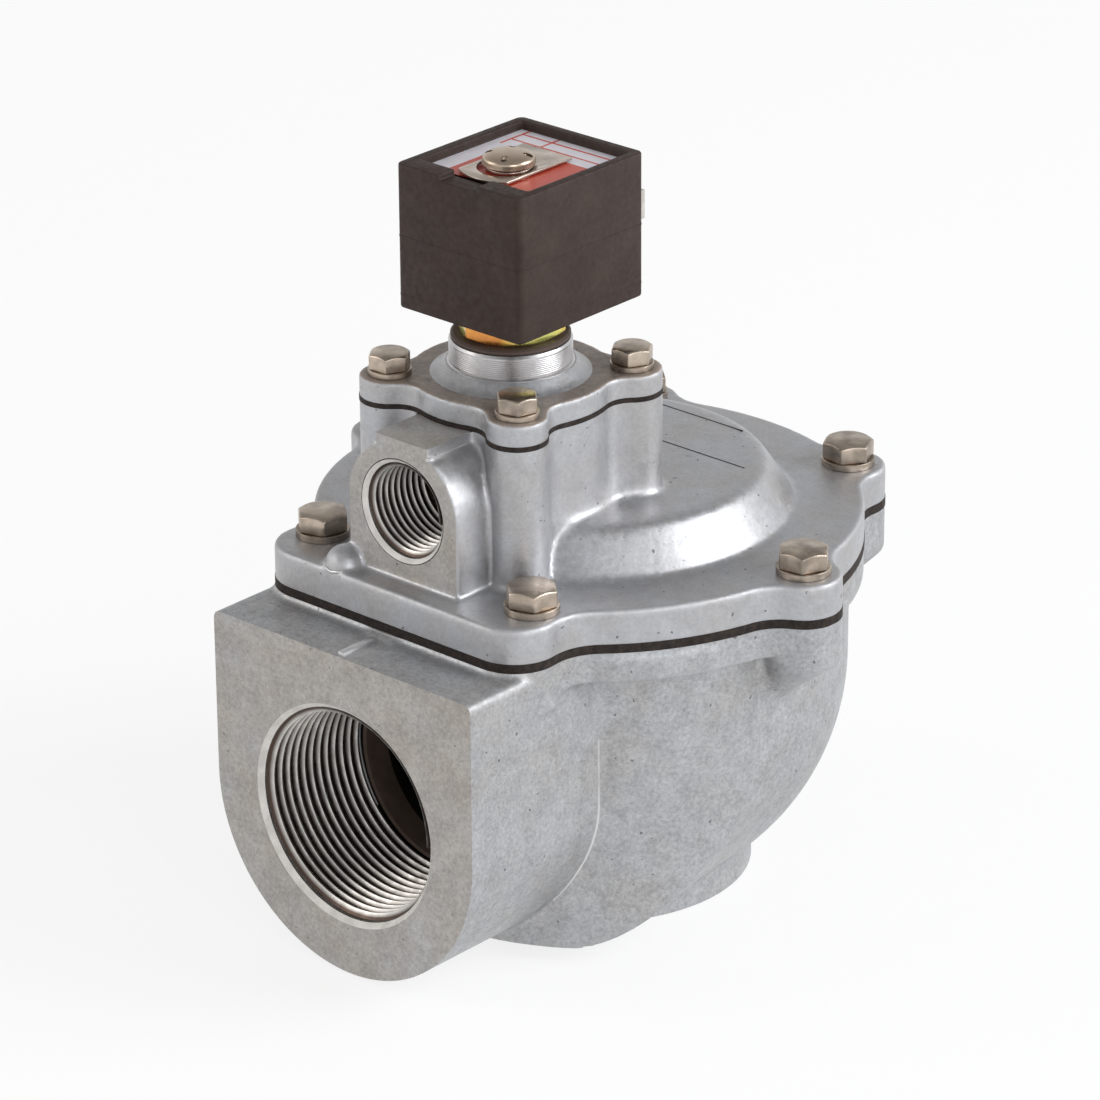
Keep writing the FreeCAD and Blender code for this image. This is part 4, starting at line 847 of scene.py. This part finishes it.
def makeBeadTree():  # a fine fillet laid along a path of edges
    tree, given = newTree("layBead", {
        "Path": "NodeSocketObject", "Bead Radius": 0.0004, "Finish": "NodeSocketMaterial"})
    source = addNode(tree, "GeometryNodeObjectInfo", {"Object": given["Path"]})
    path = addNode(tree, "GeometryNodeMeshToCurve", {"Mesh": source.outputs["Geometry"]})
    ring = addNode(tree, "GeometryNodeCurvePrimitiveCircle", {"Radius": given["Bead Radius"], "Resolution": 8})
    sweep = addNode(tree, "GeometryNodeCurveToMesh", {
        "Curve": path.outputs["Curve"], "Profile Curve": ring.outputs["Curve"], "Fill Caps": True})
    return closeTree(tree, given, sweep.outputs["Mesh"])


windCoil = makeCoilTree()
fastenerRing = makeRingTree()
layBead = makeBeadTree()


def makeBeads(name, node, radius, keep):  # follows the hollow edges of a casting
    shape = merged(node)
    points, lines, found = [], [], {}
    for edge in shape.edges:
        if len(edge.link_faces) != 2 or not all(keep(vert.co) for vert in edge.verts):
            continue
        first, second = edge.link_faces
        across = second.calc_center_median() - first.calc_center_median()
        if first.normal.angle(second.normal, 0) < math.radians(12) or across.dot(first.normal) < 0:
            continue
        for vert in edge.verts:
            if vert not in found:
                found[vert] = len(points)
                points.append(vert.co.copy())
        lines.append([found[vert] for vert in edge.verts])
    shape.free()
    path = newObject(name + "Path", meshFrom(name + "Path", points, lines, []))
    # the beads are finished lighter than the casting: a painted highlight along the hollow edges
    item = grow(name, layBead, {"Path": path, "Bead Radius": radius, "Finish": highlightAluminium})
    bpy.data.objects.remove(path)
    item.data.shade_smooth()
    print(name, len(lines), "edges")
    return dress(item, "root", "cast_aluminium", highlightAluminium)


# ports: lead-in, thread and the smooth run-out behind it
def makeThread(name, port):
    radius, pitch, lead, length = (port[key] for key in ("radius", "pitch", "lead", "length"))
    depth = 0.62 * pitch
    item = grow(name, windCoil, {
        "Radius": radius + 0.00005, "Height": pitch * port["turns"], "Turns": port["turns"], "Steps": 96,
        "Half Width": 0.47 * pitch, "Crest": 0.08 * pitch, "Depth": depth, "Finish": threadAluminium})
    shape = shapeOf(item.data)
    wide = max(math.hypot(vert.co.x, vert.co.y) for vert in shape.verts)
    if wide > radius + depth / 2:  # the teeth stand inward
        for vert in shape.verts:
            reach = math.hypot(vert.co.x, vert.co.y)
            inward = (2 * radius - reach) / reach
            vert.co.x *= inward
            vert.co.y *= inward
        bmesh.ops.recalc_face_normals(shape, faces=shape.faces)
    crest = shape.verts.layers.float.new("crest")
    for vert in shape.verts:
        vert[crest] = min(1.0, max(0.0, (radius - math.hypot(vert.co.x, vert.co.y)) / depth))
    bmesh.ops.translate(shape, verts=shape.verts, vec=(0, 0, lead + 0.2 * pitch))
    wall = lathe([(radius + lead, 0), (radius, lead), (radius, lead + 1.1 * pitch),
                  (radius, lead + 1.3 * pitch), (radius, length), (radius - 2 * lead, length)])
    crest = wall.verts.layers.float.new("crest")
    for vert in wall.verts:  # the first turn of the wall is as bright as the crests
        vert[crest] = float(vert.co.z < lead + 1.2 * pitch)
    for face in wall.faces:  # seen from inside the hole
        middle = face.calc_center_median()
        if face.normal.dot(Vector((middle.x, middle.y, 0))) > 0:
            face.normal_flip()
        face.material_index = int(middle.z < lead)
    addShape(shape, wall)
    turn = Vector((0, 0, -1)).rotation_difference(Vector(port["outward"])).to_matrix()
    bmesh.ops.rotate(shape, verts=shape.verts, matrix=turn)
    bmesh.ops.translate(shape, verts=shape.verts, vec=port["mouth"])
    item.data = meshOf(name, shape, 25)
    return dress(item, "root", "cast_aluminium", threadAluminium, leadAluminium)


# fasteners
def hexHead(across, height, low, chamfer=0.94, both=False):
    shape = bmesh.new()
    steps = 72
    flat = chamfer * across / 2
    angles = [2 * math.pi * step / steps for step in range(steps)]
    reaches = [across / 2 / math.cos((angle + math.pi / 6) % (math.pi / 3) - math.pi / 6) for angle in angles]
    falls = [max(0.0, reach - flat) * math.tan(math.radians(30)) for reach in reaches]
    rings = [
        [(flat if both else 0.97 * reach, low) for reach in reaches],
        [(reach, low + (fall if both else 0.0003)) for reach, fall in zip(reaches, falls)],
        [(reach, low + height - fall) for reach, fall in zip(reaches, falls)],
        [(flat, low + height)] * steps,
    ]
    rows = [[shape.verts.new((r * math.cos(a), r * math.sin(a), z)) for (r, z), a in zip(ring, angles)]
            for ring in rings]
    for below, above in zip(rows, rows[1:]):
        for step in range(steps):
            after = (step + 1) % steps
            shape.faces.new((below[step], below[after], above[after], above[step]))
    shape.faces.new(list(reversed(rows[0])))
    shape.faces.new(rows[-1])
    return outwards(shape)


def softened(item, width, segments=2, angle=35):
    bevel = item.modifiers.new("softEdges", "BEVEL")
    bevel.width, bevel.segments = width, segments
    bevel.limit_method, bevel.angle_limit = "ANGLE", math.radians(angle)
    applied(item)
    item.data.shade_smooth()
    item.data.set_sharp_from_angle(angle=math.radians(40))
    return item


def makeBolt(name, bolt):
    shape = hexHead(bolt["across"], bolt["head"], 0)
    foot, radius, top, ease = bolt["washer"] - bolt["length"], bolt["radius"], 0.0002, 0.0006
    shank = [(0, foot), (radius - ease, foot), (radius, foot + ease), (radius, top), (0, top)]
    addShape(shape, lathe(shank, 32))
    return softened(newObject(name, meshOf(name, shape)), 0.00022)


def makeWasher(name, kit):  # a ring with a narrow split
    outer, inner, thick = kit["outer"], kit["inner"], kit["washer"]
    edge, gap, steps = 0.00012, 0.0008, 60
    section = [(inner, 0), (outer - edge, 0), (outer, edge), (outer, thick - edge), (outer - edge, thick),
               (inner, thick)]
    shape = bmesh.new()
    rows = []
    for step in range(steps + 1):
        angle = gap / outer / 2 + step / steps * (2 * math.pi - gap / outer)
        rows.append([shape.verts.new((r * math.cos(angle), r * math.sin(angle), z)) for r, z in section])
    for first, second in zip(rows, rows[1:]):
        for k in range(6):
            shape.faces.new((first[k], first[(k + 1) % 6], second[(k + 1) % 6], second[k]))
    shape.faces.new(rows[0])
    shape.faces.new(list(reversed(rows[-1])))
    return newObject(name, meshOf(name, outwards(shape)))


def makeFasteners():
    kits = (
        {"bolts": "cover_bolts", "washers": "cover_washers", "across": 0.010, "head": 0.004, "radius": 0.003,
         "length": 0.020, "washer": 0.0015, "outer": 0.0058, "inner": 0.00315, "count": 6, "seed": 11,
         "ring": layout["boltCircle"], "angle": 0.0, "centre": (0, 0), "seat": layout["coverSeat"]},
        {"bolts": "pilot_bolts", "washers": "pilot_washers", "across": 0.008, "head": 0.0035, "radius": 0.0025,
         "length": 0.018, "washer": 0.0012, "outer": 0.0046, "inner": 0.00265, "count": 4, "seed": 5,
         "ring": layout["pilotSpacing"] * math.sqrt(2), "angle": math.pi / 4, "centre": tower[:2],
         "seat": layout["pilotSeat"]},
    )
    for kit in kits:
        bolt, washer = makeBolt("oneBolt", kit), makeWasher("oneWasher", kit)
        washer.data.transform(Matrix.Rotation(math.radians(40), 4, "Z"))
        for source, node, height, turn in ((bolt, kit["bolts"], kit["seat"] + kit["washer"], math.pi / 3),
                                           (washer, kit["washers"], kit["seat"], 2.2)):
            item = grow(node.replace("_b", "B").replace("_w", "W"), fastenerRing, {
                "Fastener": source, "Count": kit["count"], "Radius": kit["ring"], "Start Angle": kit["angle"],
                "Centre": (*kit["centre"], height), "Turn": turn, "Seed": kit["seed"], "Finish": boltSteel})
            item.data.set_sharp_from_angle(angle=math.radians(40))
            dress(item, "root", "bolt_steel", boltSteel)
            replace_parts(item, node)
            bpy.data.objects.remove(source)
    print("fasteners made")


# diaphragms: a rubber rim rebuilt in the joint, and the web as the CAD has it
def makeDiaphragm(node, sheet):
    up, centre, inner = Vector((0, 0, 1)), sheet["centre"], sheet["inner"]
    middle = (sheet["low"] + sheet["high"]) / 2
    side, back = 0.06755, 0.05959  # the CAD box's half width and its back
    edge = outline(node, (0, 0, middle), up)
    count = len(edge)
    ahead = [(edge[(k + 1) % count] - edge[k - 1]).normalized().cross(up) for k in range(count)]
    outward = 1 if sum(ahead[k].dot(edge[k] - centre) for k in range(count)) > 0 else -1
    for k in range(count):  # the rim stands a little out of the joint
        edge[k] += ahead[k] * outward * 0.0001
        edge[k].x = max(-side, min(side, edge[k].x))
        edge[k].y = min(back, edge[k].y)
    low = sheet["low"] - middle
    name = node.replace("_d", "D")
    rim = newObject(name + "Rim", meshOf(node, prism(edge, low * up, -low * up)))
    carve(rim, [pin(inner, sheet["low"] - 0.001, sheet["high"] + 0.001, centre.x, centre.y, 96)])
    dress(rim, "root", "rubber", rubber)

    def isWeb(place):
        return math.hypot(place.x - centre.x, place.y - centre.y) < inner + 0.0004
    web = innerFaces(name + "Web", node, isWeb)
    dress(web, "root", "rubber", rubber)
    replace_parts(web, node)
    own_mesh(web)


def makeSprings():
    coils = {
        "main_spring": {"radius": 0.014, "wire": 0.0009, "turns": 3.5, "joint": "main_lift", "keep": 0.55},
        "pilot_spring": {"radius": 0.0052, "wire": 0.0003, "turns": 3.0, "joint": "pilot_lift", "keep": 0.47},
        "core_spring": {"radius": 0.0025, "wire": 0.0003, "turns": 5.0, "joint": "plunger_lift", "keep": 0.8},
    }
    for node, coil in coils.items():
        low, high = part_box(node)
        item = grow(node.replace("_s", "S"), windCoil, {
            "Radius": coil["radius"], "Height": high.z - low.z - 2 * coil["wire"], "Turns": coil["turns"],
            "Steps": 40, "Wire": coil["wire"], "Finish": springSteel})
        centreY = 0.0 if node == "main_spring" else layout["towerY"]
        item.data.transform(Matrix.Translation((0, centreY, low.z + coil["wire"])))
        dress(item, "root", "spring_steel", springSteel)
        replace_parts(item, node)
        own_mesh(item)
    print("springs made")


ports = {
    "inletThread": {"radius": 0.0239, "pitch": 0.002309, "turns": 12.2, "length": 0.0300, "lead": 0.0011,
                    "mouth": (0, -0.0777, 0.037), "outward": (0, -1, 0)},
    "outletThread": {"radius": 0.0239, "pitch": 0.002309, "turns": 8.8, "length": 0.0220, "lead": 0.0011,
                     "mouth": (0, 0, 0), "outward": (0, 0, -1)},
    "exhaustThread": {"radius": 0.01048, "pitch": 0.001814, "turns": 8.8, "length": 0.0173, "lead": 0.0009,
                      "mouth": (0, -0.0582, 0.0998), "outward": (0, -1, 0)},
}
diaphragms = {
    "main_diaphragm": {"joint": "main_lift", "low": layout["bodyTop"], "high": layout["coverBottom"],
                       "inner": 0.046, "keep": 0.16, "centre": Vector((0, 0, 0))},
    "pilot_diaphragm": {"joint": "pilot_lift", "low": layout["towerTop"], "high": layout["pilotBottom"],
                        "inner": 0.0155, "keep": 0.25, "centre": tower},
}
makeBody()
makeCover()
makePilotCover()
for name, port in ports.items():
    makeThread(name, port)
makeBeads("bodyFillet", "body", 0.00042,
          lambda place: place.z < 0.068 and -0.05 < place.y < -0.02 and abs(place.x) > 0.018)
makeBeads("coverFillet", "main_cover", 0.0004,
          lambda place: place.z > 0.0835 and place.y < -0.0395 and abs(place.x) < 0.0235
          and math.hypot(place.x, place.z - 0.0998) > 0.0125)
makeFasteners()
for node, sheet in diaphragms.items():
    makeDiaphragm(node, sheet)
makeSprings()


# solenoid
def makeHexBase():
    base = {"across": 0.021, "turn": 53.0, "bore": 0.0066, "spigot": 0.00895, "foot": 0.1255, "top": 0.1304,
            "sealInner": 0.009, "sealOuter": 0.0126, "sealLow": 0.129, "sealHigh": 0.1303, "ease": 0.0005}
    height = layout["baseTop"] - layout["baseBottom"]
    shape = moved(hexHead(base["across"], height, layout["baseBottom"], 0.97, True), base["turn"], "Z", tower)
    bore, spigot, foot, top = (base[key] for key in ("bore", "spigot", "foot", "top"))
    addShape(shape, lathe([(bore, foot), (spigot, foot), (spigot, top), (bore, top)], 64, True, tower))
    item = softened(newObject("hexBase", meshOf("hexBase", shape)), 0.00025)
    dress(item, "root", "yellow_zinc", yellowZinc)
    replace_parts(item, "solenoid_base")
    inner, outer, low, high = (base[key] for key in ("sealInner", "sealOuter", "sealLow", "sealHigh"))
    shoulder, ease = outer - base["ease"], 0.0004
    seal = lathe([(inner, low), (shoulder, low), (outer, low + ease), (outer, high - ease), (shoulder, high),
                  (inner, high)], 96, True, tower)
    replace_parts(piece("baseSeal", seal, "root", "rubber", sealRubber), "base_seal")


def makeCoil():
    coil = {"half": 0.01715, "front": -0.0404, "back": -0.0018, "corner": 0.0016, "rim": 0.0023,
            "frontRim": 0.0052, "notchHalf": 0.0052, "notchDepth": 0.0013, "bore": 0.0068, "seam": 0.00005,
            "seamHeight": 0.0004, "plateau": 0.0135, "plateauHeight": 0.001}
    low, high = layout["coilBottom"], layout["coilTop"]
    half, front, back = coil["half"], coil["front"], coil["back"]
    shell = rounded(boxShape((-half, front, low), (half, back, high)), coil["corner"])
    block = newObject("coilBlock", meshOf("coilBlock", shell))
    recess = rounded(boxShape((coil["rim"] - half, front + coil["frontRim"], layout["recessFloor"]),
                              (half - coil["rim"], back - coil["rim"], high + 0.002)), 0.0006, 2)
    notch = rounded(boxShape((-coil["notchHalf"], front - 0.001, high - coil["notchDepth"]),
                             (coil["notchHalf"], front + coil["frontRim"] + 0.001, high + 0.002)), 0.0008, 2)
    bore = pin(coil["bore"], low - 0.001, high, tower.x, tower.y, 48)
    carve(block, [recess, notch, bore])
    softened(block, 0.0004, 3, 40)
    middle = (low + high) / 2
    extras = bmesh.new()
    for height, reach in ((middle, coil["seam"]), (low + 0.0029, coil["seam"] * 0.6)):
        band = boxShape((-half - reach, front - reach, height - coil["seamHeight"] / 2),
                        (half + reach, back + reach, height + coil["seamHeight"] / 2))
        addShape(extras, rounded(band, coil["corner"]))
    wide, proud = coil["plateau"], back + coil["plateauHeight"]
    plateau = boxShape((-wide, back - 0.0005, middle - wide), (wide, proud, middle + wide))
    addShape(extras, rounded(plateau, 0.0004, 2, True))
    seams = newObject("coilSeams", meshOf("coilSeams", extras))
    for item in (block, seams):
        dress(item, "coil", "coil_plastic", coilPlastic)
    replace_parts(block, "coil_housing")
    print("coil made")


def split(shape, axis, place):  # cuts the faces along a plane, keeping both sides
    normal = Vector([float(k == axis) for k in range(3)])
    bisect(shape, normal * place, normal)


def makeLabel():
    label = {"lineHalf": 0.0003, "column": -0.0122, "rows": (-0.0068, -0.0104), "divider": -0.004,
             "field": -0.0138, "fieldSide": -0.0098}
    shape = merged("coil_label")
    width = label["lineHalf"]
    for place in (label["column"], label["divider"]):
        for side in (-width, width):
            split(shape, 0, place + side)
    for place in label["rows"]:
        for side in (-width, width):
            split(shape, 1, place + side)
    split(shape, 1, label["field"])
    split(shape, 0, label["fieldSide"])

    def printed(place):
        if place.y < label["field"]:
            return place.x > label["fieldSide"]
        inRow = any(abs(place.y - row) < width for row in label["rows"]) and place.x > label["column"]
        inDivider = abs(place.x - label["divider"]) < width and place.y > label["rows"][1]
        return inRow or inDivider or abs(place.x - label["column"]) < width
    for face in shape.faces:
        face.material_index = int(face.normal.z > 0.5 and printed(face.calc_center_median()))
    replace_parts(piece("coilLabel", shape, "coil", "label_film", labelWhite, labelRed), "coil_label")


def makeClip():
    clip = {"edge": 0.00012}
    shape = merged("retaining_clip")
    bmesh.ops.dissolve_limit(shape, angle_limit=math.radians(2), verts=shape.verts, edges=shape.edges)
    plate = softened(newObject("clipPlate", meshOf("clipPlate", shape)), clip["edge"], 2, 50)
    dress(plate, "coil", "clip_steel", clipSteel)
    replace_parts(plate, "retaining_clip")


def makeCap():
    cap = {"radius": 0.00565, "inner": 0.00365, "skin": 0.0006, "slot": 0.0013,
           "slots": ((25, 0.0041, 0.0020), (118, 0.0040, 0.0024), (205, 0.0043, 0.0016), (298, 0.0038, 0.0022))}
    low, high = layout["capBottom"], layout["capTop"]
    wide = cap["radius"]
    profile = [(cap["inner"], low), (wide - 0.0004, low), (wide, low + 0.0003), (wide - 0.00008, low + 0.0011)]
    for step in range(9):  # domed crown
        angle = math.pi / 2 * step / 8
        profile.append(((wide - 0.0001) * math.cos(angle) ** 0.75 if step < 8 else 0.0,
                        low + 0.0013 + (high - low - 0.0013) * math.sin(angle)))
    profile += [(0, high - cap["skin"]), (cap["inner"], high - 2 * cap["skin"])]
    shape = lathe(profile, 72, centre=tower)
    rows = {}
    for vert in shape.verts:  # closes the wall between the two inner rims
        if abs(fromTower(vert.co) - cap["inner"]) < 1e-6:
            rows.setdefault(round(vert.co.z, 6), []).append(vert)
    first, second = (sorted(row, key=lambda v: math.atan2(v.co.y - tower.y, v.co.x)) for row in rows.values())
    for step in range(len(first)):
        shape.faces.new((first[step - 1], first[step], second[step], second[step - 1]))
    crown = newObject("clipCap", meshOf("clipCap", outwards(shape), 30))
    tools = []
    for turn, reach, length in cap["slots"]:
        tool = boxShape((reach - length / 2, -cap["slot"] / 2, low + 0.0012),
                        (reach + length / 2, cap["slot"] / 2, high + 0.001))
        tools.append(moved(rounded(tool, 0.0005, 2), turn, "Z", tower))
    carve(crown, tools)
    dress(crown, "root", "clip_steel", capSteel)
    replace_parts(crown, "clip_cap")
    print("label, clip and cap made")


makeHexBase()
makeCoil()
makeLabel()
makeClip()
makeCap()

plainPieces = {  # pieces that keep the CAD mesh
    "diaphragm_lower_plate": plateSteel, "diaphragm_upper_plate": plateSteel, "diaphragm_screw": boltSteel,
    "diaphragm_nut": boltSteel, "pilot_upper_plate": plateSteel, "pilot_rivet": plateSteel,
    "core_tube": magnetSteel, "fixed_stop": magnetSteel, "plunger_core": magnetSteel, "core_seal": sealRubber,
    "coil_terminals": tinnedBrass,
}
for node, material in plainPieces.items():
    nodes[node].data.materials.clear()
    nodes[node].data.materials.append(material)

print("scene made")
